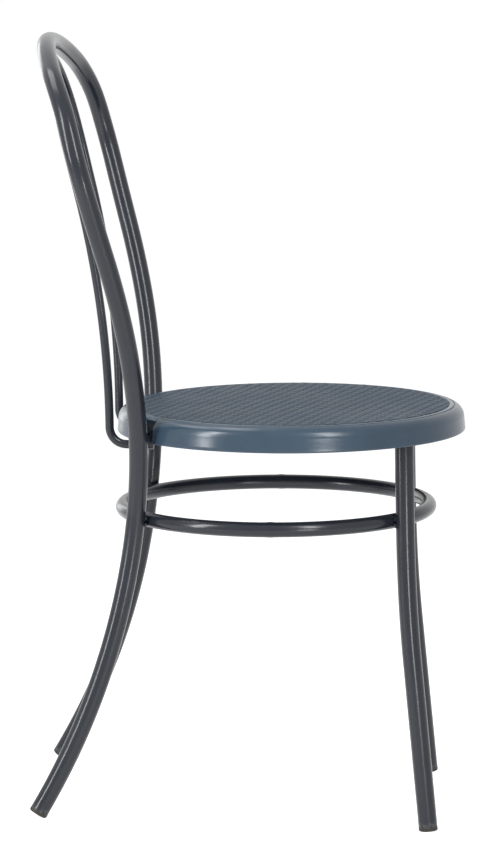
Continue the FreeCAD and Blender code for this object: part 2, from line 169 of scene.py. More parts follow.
@dataclass(frozen=True)
class Layout:
    """The sizes that more than one sub-assembly needs."""

    tube: float = 10.7
    tube_wall: float = 1.5
    ring_bar: float = 8.5
    inner_bar: float = 4.9
    support_bar: float = 6.0
    weld_gap: float = 0.03
    seat_edge_height: float = 430.7
    seat_top_height: float = 459.2
    seat_tilt: float = 1.81
    ring_radius: float = 176.3
    ring_centre_y: float = 14.8
    ring_height: float = 341.0
    ring_tilt: float = 1.77
    support_radius: float = 175.0
    support_height: float = 433.2
    foot_half: float = 157.0
    crest: float = 866.4
    cap_thickness: float = 5.0
    cap_flat: float = 1.6
    outer: HoopSide = HoopSide(
        front_y=166.6, lower_radius=810.0, upper_radius=760.0, straight_from=613.7,
        extra_lean=17.1, crest=866.4,
    )
    leg: LegSide = LegSide()

    @cached_property
    def seat_pivot(self) -> Vector:
        """The point about which the seat is tipped."""
        return Vector((0.0, 0.0, 0.5 * (self.seat_edge_height + self.seat_top_height)))

    @cached_property
    def seat_tip(self) -> Matrix:
        """The turn that tips what was laid out level, so that its front is higher."""
        turn = Matrix.Rotation(math.radians(-self.seat_tilt), 4, "X")
        return Matrix.Translation(self.seat_pivot) @ turn @ Matrix.Translation(-self.seat_pivot)

    @cached_property
    def ring_tip(self) -> Matrix:
        """The move that puts a ring laid out at the origin between the legs."""
        turn = Matrix.Rotation(math.radians(-self.ring_tilt), 4, "X")
        return Matrix.Translation((0.0, self.ring_centre_y, self.ring_height)) @ turn

    def ring_contact(self, side_view: SideView) -> Vector:
        """The leg's centre where the leg ring touches it from inside, on the left.

        Args:
            side_view: the leg's side view.

        Returns:
            The place on the leg's centre line.
        """
        first_y = side_view.setback(self.ring_height)
        if isinstance(side_view, HoopSide):
            first_y = side_view.front_y
        drop = math.tan(math.radians(self.ring_tilt)) * (first_y - self.ring_centre_y)
        height = self.ring_height - drop
        y = side_view.setback(height)
        reach = self.ring_radius + self.ring_bar + self.tube + self.weld_gap
        x = math.sqrt(reach ** 2 - (y - self.ring_centre_y) ** 2)
        return Vector((x, y, height))

    def foot_rise(self, x_slope: float, y_slope: float) -> float:
        """Height of a tube's end over the floor for a leg with these slopes."""
        lean = math.atan(math.hypot(x_slope, y_slope))
        return self.cap_thickness * math.cos(lean) + self.tube * math.sin(lean) - self.cap_flat

    def support_bottom(self, x: float) -> float:
        """Lowest height of the support ring behind the seat at this distance from the middle."""
        y = math.sqrt(self.support_radius ** 2 - x ** 2)
        return (self.seat_tip @ Vector((x, y, self.support_height))).z - self.support_bar


def arc_samples(start: Vector, corner: Vector, finish: Vector, pitch: float) -> list[Station]:
    """Even samples of the arc that is tangent to the two runs through a corner.

    Args:
        start: where the arc begins.
        corner: where its two tangents meet.
        finish: where it ends.
        pitch: longest step between samples.

    Returns:
        The samples, without the last one.
    """
    way_in = (corner - start).normalized()
    way_out = (finish - corner).normalized()
    turn = way_in.angle(way_out)
    if turn < STRAIGHT_TURN:
        count = max(1, math.ceil((finish - start).length / pitch))
        return [Station(start.lerp(finish, i / count), way_in) for i in range(count)]
    axis = way_in.cross(way_out).normalized()
    radius = (corner - start).length / math.tan(turn / 2.0)
    centre = start + axis.cross(way_in) * radius
    count = max(1, math.ceil(max(radius * turn / pitch, turn / LONGEST_ARC_STEP)))
    samples = []
    for index in range(count):
        spin = Matrix.Rotation(turn * index / count, 3, axis)
        samples.append(Station(centre + spin @ (start - centre), spin @ way_in))
    return samples


def follow(stations: Sequence[Station], pitch: float = 10.0) -> list[Station]:
    """Samples of the chain of tangent arcs through stations.

    Args:
        stations: the places the bar passes and its ways there.
        pitch: longest step between samples.

    Returns:
        Samples from the first station to the last.
    """
    samples: list[Station] = []
    for before, after in zip(stations[:-1], stations[1:]):
        span = after.place - before.place
        along = span.dot(before.way + after.way)
        bend = 2.0 * (1.0 - before.way.dot(after.way))
        if bend < 1e-9:
            reach = span.dot(span) / (2.0 * along)
        else:
            reach = (math.sqrt(along * along + bend * span.dot(span)) - along) / bend
        first = before.place + before.way * reach
        second = after.place - after.way * reach
        meeting = (first + second) * 0.5
        samples += arc_samples(before.place, first, meeting, pitch)
        samples += arc_samples(meeting, second, after.place, pitch)
    return samples + [stations[-1]]


def whole_hoop(half: Sequence[Station]) -> list[Station]:
    """The stations of a hoop from those of its left half, foot to crest."""
    return list(half) + [station.across() for station in reversed(half)][1:]


def sweep(
    mesh: BMesh,
    path: Sequence[Station],
    radius: float,
    segments: int = 40,
    swell: Callable[[float], float] = lambda share: 1.0,
) -> tuple[list[BMEdge], list[BMEdge]]:
    """Extrudes a ring of edges along a path.

    Args:
        mesh: the mesh to add to.
        path: places and ways along the centre line.
        radius: the bar's radius.
        segments: edges round the bar.
        swell: factor on the radius by share of the path, from 0 to 1.

    Returns:
        The edges of the first ring and of the last ring.
    """
    first = path[0]
    upright = Vector((0.0, 0.0, 1.0)).rotation_difference(first.way).to_matrix().to_4x4()
    frame_of_first = Matrix.Translation(first.place) @ upright
    made = bmesh.ops.create_circle(
        mesh, cap_ends=False, segments=segments, radius=radius * swell(0.0), matrix=frame_of_first
    )
    start = list({edge for vert in made["verts"] for edge in vert.link_edges})
    ring = start
    last = len(path) - 1
    for index, (before, after) in enumerate(zip(path[:-1], path[1:])):
        grown = bmesh.ops.extrude_edge_only(mesh, edges=ring)["geom"]
        ring = [edge for edge in only(grown, BMEdge) if edge.is_boundary]
        turn = before.way.rotation_difference(after.way).to_matrix().to_4x4()
        size = Matrix.Scale(swell((index + 1) / last) / swell(index / last), 4)
        step = Matrix.Translation(after.place) @ turn @ size @ Matrix.Translation(-before.place)
        bmesh.ops.transform(mesh, matrix=step, verts=only(grown, BMVert))
    return start, ring


def close_end(mesh: BMesh, ring: Iterable[BMEdge], wall: float = 0.0, depth: float = 0.0) -> None:
    """Closes a bar's end with a face, or with a wall's rim and a short bore.

    Args:
        mesh: the mesh the ring is in.
        ring: the end's edges.
        wall: thickness of the tube's wall, or 0 for a solid end.
        depth: how deep the bore goes.
    """
    faces = bmesh.ops.contextual_create(mesh, geom=list(ring))["faces"]
    bmesh.ops.recalc_face_normals(mesh, faces=mesh.faces[:])
    if wall > 0.0:
        bmesh.ops.inset_individual(mesh, faces=faces, thickness=wall, use_even_offset=True)
        bmesh.ops.inset_individual(mesh, faces=faces, thickness=0.05, depth=-depth)


def spin_full(mesh: BMesh, steps: int) -> None:
    """Spins everything in the mesh once round Z and closes the seam and the poles."""
    bmesh.ops.spin(
        mesh, geom=mesh.verts[:] + mesh.edges[:], cent=(0.0, 0.0, 0.0), axis=(0.0, 0.0, 1.0),
        dvec=(0.0, 0.0, 0.0), angle=FULL_TURN, steps=steps, use_merge=True, use_duplicate=False,
    )
    bmesh.ops.remove_doubles(mesh, verts=mesh.verts[:], dist=1e-4)
    bmesh.ops.recalc_face_normals(mesh, faces=mesh.faces[:])


def only(parts: Iterable[object], kind: type) -> list:
    """The parts of one kind, vertices or edges, in their order."""
    return [part for part in parts if isinstance(part, kind)]


def move(mesh: BMesh, matrix: Matrix) -> None:
    """Moves the whole mesh."""
    bmesh.ops.transform(mesh, matrix=matrix, verts=mesh.verts[:])


def flip_to_right(mesh: BMesh) -> None:
    """Turns a piece made for the left into the one for the right."""
    bmesh.ops.scale(mesh, vec=(-1.0, 1.0, 1.0), verts=mesh.verts[:])
    bmesh.ops.reverse_faces(mesh, faces=mesh.faces[:])


def link_new(name: str, data: bpy.types.ID) -> bpy.types.Object:
    """A new object in the scene with this data."""
    made = bpy.data.objects.new(name, data)
    bpy.context.scene.collection.objects.link(made)
    return made


def settle(mesh: BMesh, name: str) -> bpy.types.Mesh:
    """Writes a work mesh into new mesh data and frees it."""
    data = bpy.data.meshes.new(name)
    mesh.to_mesh(data)
    mesh.free()
    return data


def cos_sin(degrees: float) -> tuple[float, float]:
    """Cosine and sine of an angle in degrees."""
    return math.cos(math.radians(degrees)), math.sin(math.radians(degrees))


def section(*pairs: tuple[float, float]) -> list[Vector]:
    """Points of a half section from pairs of radius and height."""
    return [Vector((radius, 0.0, height)) for radius, height in pairs]


def section_arc(
    middle: tuple[float, float], radius: float, first: float, last: float, steps: int
) -> list[Vector]:
    """Points of an arc in a half section.

    Args:
        middle: radius and height of the arc's centre.
        radius: the arc's own radius.
        first: its first angle in degrees.
        last: its last angle in degrees.
        steps: steps between the two.

    Returns:
        The points from first to last.
    """
    points = []
    for step in range(steps + 1):
        cos, sin = cos_sin(first + (last - first) * step / steps)
        points += section((middle[0] + radius * cos, middle[1] + radius * sin))
    return points


def round_off(mesh: BMesh, edges: Sequence[BMEdge], offset: float, segments: int = 3) -> None:
    """Bevels edges to a round of this offset."""
    bmesh.ops.bevel(
        mesh, geom=list(edges), offset=offset, offset_type="OFFSET", segments=segments,
        profile=0.5, affect="EDGES", material=-1, clamp_overlap=True,
    )


def sharp_edges(mesh: BMesh, degrees: float = 30.0) -> list[BMEdge]:
    """Edges between two faces that meet at more than this angle."""
    limit = math.radians(degrees)
    return [e for e in mesh.edges if e.is_manifold and e.calc_face_angle(0.0) > limit]


def polar(radius: float, degrees: float, height: float) -> Vector:
    """A point at a distance and a direction from the seat's axis."""
    angle = math.radians(degrees)
    return Vector((radius * math.cos(angle), radius * math.sin(angle), height))


class NodeBoard:
    """A node tree with short calls for adding nodes and joining them."""

    def __init__(self, tree: bpy.types.NodeTree) -> None:
        """Takes the tree to work on."""
        self.tree = tree

    def add(self, kind: str, **settings: object) -> bpy.types.Node:
        """Adds a node.

        Args:
            kind: the node's type name.
            **settings: properties to set on it.

        Returns:
            The new node.
        """
        node = self.tree.nodes.new(kind)
        for name, value in settings.items():
            setattr(node, name, value)
        return node

    def feed(self, socket: bpy.types.NodeSocket, source: object) -> None:
        """Gives a socket either another socket to read or a plain value."""
        if isinstance(source, bpy.types.NodeSocket):
            self.tree.links.new(source, socket)
        else:
            socket.default_value = source

    def attribute(self, name: str) -> bpy.types.NodeSocket:
        """The value of a mesh attribute."""
        return self.add("ShaderNodeAttribute", attribute_name=name).outputs["Fac"]

    def sums(self, operation: str, first: object, second: object = 0.0) -> bpy.types.NodeSocket:
        """The result of a Math node on two sockets or numbers."""
        node = self.add("ShaderNodeMath", operation=operation, use_clamp=False)
        self.feed(node.inputs[0], first)
        self.feed(node.inputs[1], second)
        return node.outputs[0]

    def blend(self, share: object, first: object, second: object) -> bpy.types.NodeSocket:
        """The colour between two colours at a share."""
        node = self.add("ShaderNodeMix", data_type="RGBA", blend_type="MIX")
        self.feed(node.inputs[0], share)
        for socket, colour in ((node.inputs[6], first), (node.inputs[7], second)):
            self.feed(socket, (*colour, 1.0) if isinstance(colour, tuple) else colour)
        return node.outputs[2]

    def spread(
        self, value: object, low: float, high: float, to_low: object = 0.0, to_high: object = 1.0
    ) -> bpy.types.NodeSocket:
        """A value mapped smoothly from one range to another, clamped at both ends."""
        node = self.add("ShaderNodeMapRange", interpolation_type="SMOOTHSTEP", clamp=True)
        for index, source in enumerate((value, low, high, to_low, to_high)):
            self.feed(node.inputs[index], source)
        return node.outputs[0]

    def noise(
        self, place: object, scale: object, detail: float = 2.0, roughness: float = 0.5
    ) -> bpy.types.NodeSocket:
        """The value of a noise texture at a place."""
        node = self.add("ShaderNodeTexNoise", noise_dimensions="3D")
        self.feed(node.inputs["Vector"], place)
        self.feed(node.inputs["Scale"], scale)
        self.feed(node.inputs["Detail"], detail)
        self.feed(node.inputs["Roughness"], roughness)
        return node.outputs[0]

    def use(self, group: bpy.types.NodeTree, **values: object) -> bpy.types.Node:
        """Adds a node group and feeds its inputs by name, with _ for a space."""
        node = self.add("ShaderNodeGroup", node_tree=group)
        for name, source in values.items():
            self.feed(node.inputs[name.replace("_", " ")], source)
        return node


class Effects:
    """The shader node groups that several finishes share, each built once."""

    def __init__(self) -> None:
        """Builds the groups."""
        self.drift = self._group("tone_drift", ("Broad Scale", "Fine Scale"), "Mask", self._drift)
        self.skin = self._group("skin_relief", ("Peel Scale", "Grain Scale", "Grain Share"),
                                "Height", self._skin)
        self.rub = self._group("edge_rub", ("Wear", "Break Scale", "Reach"), "Mask", self._rub)
        self.dust = self._group("settled_dust", ("Patch Scale", "Amount"), "Mask", self._dust)

    @staticmethod
    def _group(
        name: str, inputs: Sequence[str], output: str, build: Callable[..., bpy.types.NodeSocket]
    ) -> bpy.types.NodeTree:
        """Makes one group with a Place input, number inputs and one number output.

        Args:
            name: the group's name.
            inputs: names of the number inputs.
            output: name of the output.
            build: adds the nodes and returns the socket to put out.

        Returns:
            The group.
        """
        tree = bpy.data.node_groups.new(name, "ShaderNodeTree")
        tree.interface.new_socket(name="Place", in_out="INPUT", socket_type="NodeSocketVector")
        for word in inputs:
            tree.interface.new_socket(name=word, in_out="INPUT", socket_type="NodeSocketFloat")
        tree.interface.new_socket(name=output, in_out="OUTPUT", socket_type="NodeSocketFloat")
        board = NodeBoard(tree)
        source = board.add("NodeGroupInput")
        target = board.add("NodeGroupOutput")
        board.feed(target.inputs[0], build(board, *source.outputs[: len(inputs) + 1]))
        return tree

    @staticmethod
    def _drift(board: NodeBoard, place: object, broad: object, fine: object) -> object:
        """Cloudy change of tone at two scales."""
        wide = board.noise(place, broad, 3.0, 0.55)
        close = board.noise(place, fine, 2.0, 0.5)
        both = board.sums("ADD", board.sums("MULTIPLY", wide, 0.7), board.sums("MULTIPLY", close, 0.3))
        return board.spread(both, 0.32, 0.68)

    @staticmethod
    def _skin(board: NodeBoard, place: object, peel: object, grain: object, share: object) -> object:
        """Soft unevenness of a coating with a fine grain over it."""
        soft = board.noise(place, peel, 1.0, 0.4)
        sharp = board.noise(place, grain, 2.0, 0.6)
        return board.sums("ADD", soft, board.sums("MULTIPLY", sharp, share))

    @staticmethod
    def _rub(board: NodeBoard, place: object, wear: object, scale: object, reach: object) -> object:
        """Worn edges, broken up by noise."""
        patchy = board.spread(board.noise(place, scale, 3.0, 0.6), 0.3, 0.7)
        worn = board.sums("MULTIPLY", wear, board.sums("ADD", patchy, 0.25))
        return board.spread(board.sums("MULTIPLY", worn, reach), 0.25, 0.9)

    @staticmethod
    def _dust(board: NodeBoard, place: object, scale: object, amount: object) -> object:
        """Fine dust on faces that look up."""
        facing = board.add("ShaderNodeSeparateXYZ")
        board.feed(facing.inputs[0], board.add("ShaderNodeNewGeometry").outputs["Normal"])
        upward = board.spread(facing.outputs[2], 0.35, 1.0)
        patches = board.spread(board.noise(place, scale, 4.0, 0.6), 0.35, 0.75)
        return board.sums("MULTIPLY", board.sums("MULTIPLY", upward, patches), amount)


@dataclass(frozen=True)
class Finish:
    """A surface finish: its tones, its gloss and the scale of its relief."""

    name: str
    tone: Tone
    other_tone: Tone
    rubbed_tone: Tone
    gloss: tuple[float, float]
    specular: float = 0.5
    metallic: float = 0.0
    broad_scale: float = 7.0
    fine_scale: float = 60.0
    peel_scale: float = 330.0
    grain_scale: float = 1500.0
    grain_share: float = 0.25
    bump: float = 0.05
    bump_depth: float = 0.0004
    rub_reach: float = 1.0
    rub_scale: float = 400.0
    dust: float = 0.05
    dust_scale: float = 25.0
    dust_dulling: float = 0.6
    dust_tone: Tone = (0.35, 0.34, 0.32)

    def make(self, effects: Effects) -> bpy.types.Material:
        """Builds the finish's material.

        Args:
            effects: the shared shader groups.

        Returns:
            The material.
        """
        material = bpy.data.materials.new(self.name)
        material.use_nodes = True
        board = NodeBoard(material.node_tree)
        shader = material.node_tree.nodes["Principled BSDF"]
        place = board.add("ShaderNodeTexCoord").outputs["Object"]
        wear = board.attribute("wear")
        drift = board.use(effects.drift, Place=place, Broad_Scale=self.broad_scale,
                          Fine_Scale=self.fine_scale).outputs[0]
        rub = board.use(effects.rub, Place=place, Wear=wear, Break_Scale=self.rub_scale,
                        Reach=self.rub_reach).outputs[0]
        dust = board.use(effects.dust, Place=place, Patch_Scale=self.dust_scale,
                         Amount=self.dust).outputs[0]
        colour = board.blend(rub, self.colour(board, drift), self.rubbed_tone)
        colour = board.blend(dust, colour, self.dust_tone)
        board.feed(shader.inputs["Base Color"], colour)
        gloss = board.spread(drift, 0.0, 1.0, self.gloss[0], self.gloss[1])
        gloss = board.sums("ADD", gloss, board.sums("MULTIPLY", dust, self.dust_dulling))
        board.feed(shader.inputs["Roughness"], gloss)
        relief = board.add("ShaderNodeBump")
        relief.inputs["Strength"].default_value = self.bump
        relief.inputs["Distance"].default_value = self.bump_depth
        board.feed(relief.inputs["Height"], self.height(board, effects, place))
        board.feed(shader.inputs["Normal"], relief.outputs[0])
        shader.inputs["Specular IOR Level"].default_value = self.specular
        shader.inputs["Metallic"].default_value = self.metallic
        return material

    def colour(self, board: NodeBoard, drift: object) -> object:
        """The base colour before wear and dust."""
        return board.blend(drift, self.tone, self.other_tone)

    def height(self, board: NodeBoard, effects: Effects, place: object) -> object:
        """The height that the bump reads."""
        return board.use(effects.skin, Place=place, Peel_Scale=self.peel_scale,
                         Grain_Scale=self.grain_scale, Grain_Share=self.grain_share).outputs[0]


@dataclass(frozen=True)
class WovenFinish(Finish):
    """A moulded weave with painted shade in its hollows, and fine reeds along each strand."""

    # Painted shade: the weave's hollows are coloured near black in place of the shade that falls in
    # them.
    hollow_painted_shade_tone: Tone = (0.006, 0.012, 0.02)
    painted_shade_full_level: float = 0.3
    painted_shade_end_level: float = 0.98
    reed_pitch: float = 4.12
    reed_share: float = 1.2
    stripe_turn: float = 15.93

    def colour(self, board: NodeBoard, drift: object) -> object:
        """The base colour, with painted shade where the weave is low."""
        relief = board.attribute("relief")
        # Painted shade: the lower the weave's relief, the more the colour goes to the dark hollow
        # tone.
        raised = board.spread(relief, self.painted_shade_full_level, self.painted_shade_end_level)
        return board.blend(raised, self.hollow_painted_shade_tone, board.blend(drift, self.tone, self.other_tone))

    def height(self, board: NodeBoard, effects: Effects, place: object) -> object:
        """The plain skin's height with reeds along whichever strand is on top."""
        plain = super().height(board, effects, place)
        over = board.attribute("over")
        lines = []
        for direction in ("Y", "X"):
            turned = board.add("ShaderNodeMapping", vector_type="POINT")
            board.feed(turned.inputs["Vector"], place)
            turned.inputs["Rotation"].default_value = (0.0, 0.0, math.radians(self.stripe_turn))
            wave = board.add("ShaderNodeTexWave", wave_type="BANDS", bands_direction=direction)
            board.feed(wave.inputs["Vector"], turned.outputs[0])
            wave.inputs["Scale"].default_value = math.pi / (10.0 * self.reed_pitch * METRES)
            lines.append(wave.outputs["Fac"])
        along = board.sums("MULTIPLY", lines[0], over)
        across = board.sums("MULTIPLY", lines[1], board.sums("SUBTRACT", 1.0, over))
        reeds = board.sums("ADD", along, across)
        return board.sums("ADD", plain, board.sums("MULTIPLY", reeds, self.reed_share))


@dataclass(frozen=True)
class BrushedFinish(Finish):
    """Plated steel with fine turning marks."""

    squeeze: float = 9.0

    def height(self, board: NodeBoard, effects: Effects, place: object) -> object:
        """The plain skin's height, stretched along X and Y into fine marks."""
        squeezed = board.add("ShaderNodeMapping", vector_type="POINT")
        board.feed(squeezed.inputs["Vector"], place)
        squeezed.inputs["Scale"].default_value = (1.0, 1.0, self.squeeze)
        return super().height(board, effects, squeezed.outputs[0])


class Finishes:
    """The chair's finishes, each with its material built once."""

    def __init__(self) -> None:
        """Builds the materials."""
        effects = Effects()
        coat = dict(
            tone=(0.0135, 0.0165, 0.0235), other_tone=(0.017, 0.0205, 0.0285),
            rubbed_tone=(0.06, 0.065, 0.072), gloss=(0.19, 0.24), specular=0.38, dust=0.02,
        )
        self.powder = Finish("powder_coat", **coat).make(effects)
        self.weld = Finish("coated_weld", **{**coat, "gloss": (0.3, 0.4)}, bump=0.25,
                           peel_scale=900.0, rub_reach=0.4).make(effects)
        self.plastic = Finish(
            "moulded_plastic", (0.028, 0.052, 0.081), (0.034, 0.061, 0.092), (0.06, 0.1, 0.14),
            (0.19, 0.25), specular=0.42, peel_scale=160.0, grain_scale=1200.0, bump=0.04,
            dust=0.03,
        ).make(effects)
        # Painted shade: this weave material darkens the weave's hollows towards a near-black tone.
        self.weave = WovenFinish(
            "moulded_weave", (0.026, 0.054, 0.087), (0.034, 0.067, 0.102), (0.06, 0.1, 0.13),
            (0.44, 0.52), specular=0.15, bump=0.7, dust=0.02,
        ).make(effects)
        self.plug = Finish(
            "plug_plastic", (0.018, 0.015, 0.013), (0.026, 0.022, 0.019), (0.07, 0.062, 0.055),
            (0.45, 0.6), specular=0.4, grain_scale=2500.0, grain_share=0.6, bump=0.25, dust=0.1,
        ).make(effects)
        self.plated = BrushedFinish(
            "plated_steel", (0.52, 0.52, 0.53), (0.6, 0.6, 0.6), (0.75, 0.75, 0.75), (0.25, 0.4),
            metallic=1.0, bump=0.12, dust=0.02,
        ).make(effects)


class Workbench:
    """Turns finished meshes in millimetres into pieces of the chair in metres."""

    def __init__(self, layout: Layout) -> None:
        """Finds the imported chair's place from its leg ring.

        Args:
            layout: the chair's sizes.
        """
        low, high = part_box("leg_ring")
        middle_y = 0.5 * (low.y + high.y) / METRES
        self.to_frame = Matrix.Scale(METRES, 4) @ Matrix.Translation(
            (0.0, middle_y - layout.ring_centre_y, 0.0)
        )

    def place(
        self, mesh: BMesh, name: str, material: bpy.types.Material, slot: Slot,
        replaces: Sequence[str] = (), sharp: float = 34.0,
    ) -> bpy.types.Object:
        """Finishes a mesh as a piece that rides on the frame.

        Args:
            mesh: the piece's mesh in millimetres.
            name: the piece's name.
            material: its finish.
            slot: not used.
            replaces: CAD nodes that it stands for.
            sharp: angle in degrees past which an edge stays crisp.

        Returns:
            The piece.
        """
        move(mesh, self.to_frame)
        bmesh.ops.recalc_face_normals(mesh, faces=mesh.faces[:])
        layer = mesh.verts.layers.float.new("wear")
        for vert in mesh.verts:
            turn = max((e.calc_face_angle_signed(0.0) for e in vert.link_edges), default=0.0)
            excess = max(0.0, math.degrees(turn) - WEAR_FROM_DEGREES)
            vert[layer] = min(1.0, excess / WEAR_SPAN_DEGREES)
        data = settle(mesh, name)
        data.shade_smooth()
        data.set_sharp_from_angle(angle=math.radians(sharp))
        piece = link_new(name, data)
        data.materials.append(material)
        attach(piece, "root")
        if replaces:
            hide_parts(*replaces)
        log.info("%s: %d faces", name, len(data.polygons))
        return piece

    def combine(self, base: BMesh, other: BMesh, operation: str) -> BMesh:
        """Joins one closed mesh to another, or cuts it away.

        Args:
            base: the mesh to change.
            other: the mesh to join or to cut with.
            operation: UNION or DIFFERENCE.

        Returns:
            The result as a new mesh.
        """
        holders = [link_new("work", settle(mesh, "work")) for mesh in (base, other)]
        modifier = holders[0].modifiers.new("join", "BOOLEAN")
        modifier.operation = operation
        modifier.solver = "EXACT"
        modifier.object = holders[1]
        graph = bpy.context.evaluated_depsgraph_get()
        result = bmesh.new()
        result.from_object(holders[0], graph)
        for holder in holders:
            data = holder.data
            bpy.data.objects.remove(holder)
            bpy.data.meshes.remove(data)
        return result

    def dress_node(self, name: str, material: bpy.types.Material) -> None:
        """Gives a CAD node that stays its finish."""
        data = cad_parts[name].data
        data.materials.clear()
        data.materials.append(material)
        log.info("%s: CAD node kept", name)


@dataclass
class OuterHoop:
    """The outer tube: both rear legs and the back hoop in one."""

    layout: Layout
    half_width: float = 217.8
    crown_radius: float = 433.0
    crown_half_chord: float = 150.0
    shoulder_turn: float = 15.0
    lower_bend: float = 280.0
    upper_bend: float = 425.0
    bore_depth: float = 16.0

    def stations(self) -> list[Station]:
        """Stations of the left half, from the foot to the crest."""
        side, layout = self.layout.outer, self.layout
        contact = layout.ring_contact(side)
        crown_angle = math.asin(self.crown_half_chord / self.crown_radius)
        crown_height = layout.crest - self.crown_radius
        shoulder = (self.half_width - self.crown_half_chord) / (1.0 - math.sin(crown_angle))
        shoulder_x = self.half_width - shoulder
        shoulder_height = crown_height + (self.crown_radius - shoulder) * math.cos(crown_angle)
        turn = math.radians(self.shoulder_turn)
        end_x = shoulder_x + shoulder * math.cos(turn)
        end_height = shoulder_height - shoulder * math.sin(turn)
        low_share = (contact.z - self.lower_bend) / (2.0 * self.lower_bend)
        bend_x = (contact.x + low_share * layout.foot_half) / (1.0 + low_share)
        slope = (bend_x - layout.foot_half) / self.lower_bend
        run = end_height - self.upper_bend
        high_share = (self.upper_bend - contact.z) / (2.0 * run)
        upper_x = (contact.x + high_share * end_x) / (1.0 + high_share)
        upper_slope = (end_x - upper_x) / run
        foot = layout.foot_rise(slope, side.setback(1.0) - side.setback(0.0))
        half = self.lower_bend / 2.0
        stations = [
            side.station(layout.foot_half + slope * foot, foot, slope, 1.0),
            side.station(layout.foot_half + slope * half, half, slope, 1.0),
            side.station(bend_x, self.lower_bend, slope, 1.0),
            side.station(contact.x, contact.z, 0.0, 1.0),
            side.station(upper_x, self.upper_bend, upper_slope, 1.0),
            side.station(0.5 * (upper_x + end_x), 0.5 * (self.upper_bend + end_height),
                         upper_slope, 1.0),
        ]
        turn_end = 90.0 - math.degrees(crown_angle)
        for step in range(5):
            degrees = -self.shoulder_turn + (turn_end + self.shoulder_turn) * step / 4.0
            cos, sin = cos_sin(degrees)
            stations.append(side.station(
                shoulder_x + shoulder * cos, shoulder_height + shoulder * sin, -sin, cos))
        for step in (1, 2):
            angle = crown_angle * (1.0 - step / 2.0)
            cos, sin = math.cos(angle), math.sin(angle)
            stations.append(side.station(
                self.crown_radius * sin, crown_height + self.crown_radius * cos, -cos, sin))
        return stations

    def build(self, bench: Workbench, finishes: Finishes) -> None:
        """Makes the tube and dresses it."""
        mesh = bmesh.new()
        ends = sweep(mesh, follow(whole_hoop(self.stations())), self.layout.tube, TUBE_SEGMENTS)
        for ring in ends:
            close_end(mesh, ring, self.layout.tube_wall, self.bore_depth)
        bench.place(mesh, "outer_hoop_tube", finishes.powder, Slot.FRAME, ["hoop_and_rear_legs"])


@dataclass
class InnerHoop:
    """The thinner hoop inside the outer one, turned forward under the seat."""

    layout: Layout
    side: HoopSide = HoopSide(
        front_y=203.2, lower_radius=1150.0, upper_radius=1150.0, straight_from=700.0,
        extra_lean=2.3, crest=850.315,
    )
    top_radius: float = 96.5
    foot_half: float = 75.0
    bend_radius: float = 19.0
    end_y: float = 153.0

    def stations(self) -> list[Station]:
        """Stations of the left half, from the forward end to the crest."""
        forward = Vector((0.0, 1.0, 0.0))
        low = self.layout.support_bottom(self.foot_half) - self.layout.inner_bar
        bend_top = low + self.bend_radius
        top_height = self.side.crest - self.top_radius
        slope = (self.top_radius - self.foot_half) / (top_height - low)
        bend_y = self.side.setback(bend_top) - self.bend_radius
        stations = [
            Station(Vector((self.foot_half, self.end_y, low)), forward),
            Station(Vector((self.foot_half, bend_y, low)), forward),
        ]
        for height in (bend_top, 0.5 * (bend_top + self.side.straight_from),
                       self.side.straight_from):
            x = self.foot_half + slope * (height - bend_top)
            stations.append(self.side.station(x, height, slope, 1.0))
        for degrees in (0.0, 30.0, 60.0, 90.0):
            cos, sin = cos_sin(degrees)
            stations.append(self.side.station(
                self.top_radius * cos, top_height + self.top_radius * sin, -sin, cos))
        return stations

    def build(self, bench: Workbench, finishes: Finishes) -> None:
        """Makes the bar with rounded ends and dresses it."""
        mesh = bmesh.new()
        for ring in sweep(mesh, follow(whole_hoop(self.stations()), 8.0), self.layout.inner_bar, 32):
            close_end(mesh, ring)
        round_off(mesh, sharp_edges(mesh, 60.0), 0.8)
        bench.place(mesh, "inner_hoop_bar", finishes.powder, Slot.FRAME, ["inner_back_hoop"])


@dataclass
class FrontLeg:
    """A front leg, from its foot plug to the support ring."""

    layout: Layout
    side: Side
    bore_depth: float = 16.0

    def stations(self) -> list[Station]:
        """Stations of the left leg, from the foot to the support ring."""
        layout, view = self.layout, self.layout.leg
        contact = layout.ring_contact(view)
        slope = (contact.x - layout.foot_half) / contact.z
        top = self.top_place()
        foot = layout.foot_rise(slope, view.lower_slope)
        stations = []
        for height in (foot, view.bend_height - view.bend_half, contact.z):
            stations.append(view.station(layout.foot_half + slope * height, height, slope, 1.0))
        top_slope = 2.0 * (top.x - contact.x) / (top.z - contact.z) - slope
        stations.append(view.station(top.x, top.z, top_slope, 1.0))
        return stations

    def top_place(self) -> Vector:
        """Where the leg meets the middle of the support ring's bar."""
        layout = self.layout
        height = layout.support_height
        for _ in range(6):
            y = layout.leg.setback(height)
            x = math.sqrt(layout.support_radius ** 2 - y ** 2)
            height = (layout.seat_tip @ Vector((x, y, layout.support_height))).z
        return Vector((x, layout.leg.setback(height), height))

    def build(self, bench: Workbench, finishes: Finishes) -> None:
        """Makes the leg, seats its top under the ring and dresses it."""
        mesh = bmesh.new()
        start, finish = sweep(mesh, follow(self.stations()), self.layout.tube, TUBE_SEGMENTS)
        close_end(mesh, start, self.layout.tube_wall, self.bore_depth)
        close_end(mesh, finish)
        if self.side is Side.RIGHT:
            flip_to_right(mesh)
        name = f"front_leg_tube_{self.side.word}"
        node = f"front_leg_{self.side.word}"
        bench.place(mesh, name, finishes.powder, Slot.FRAME, [node])


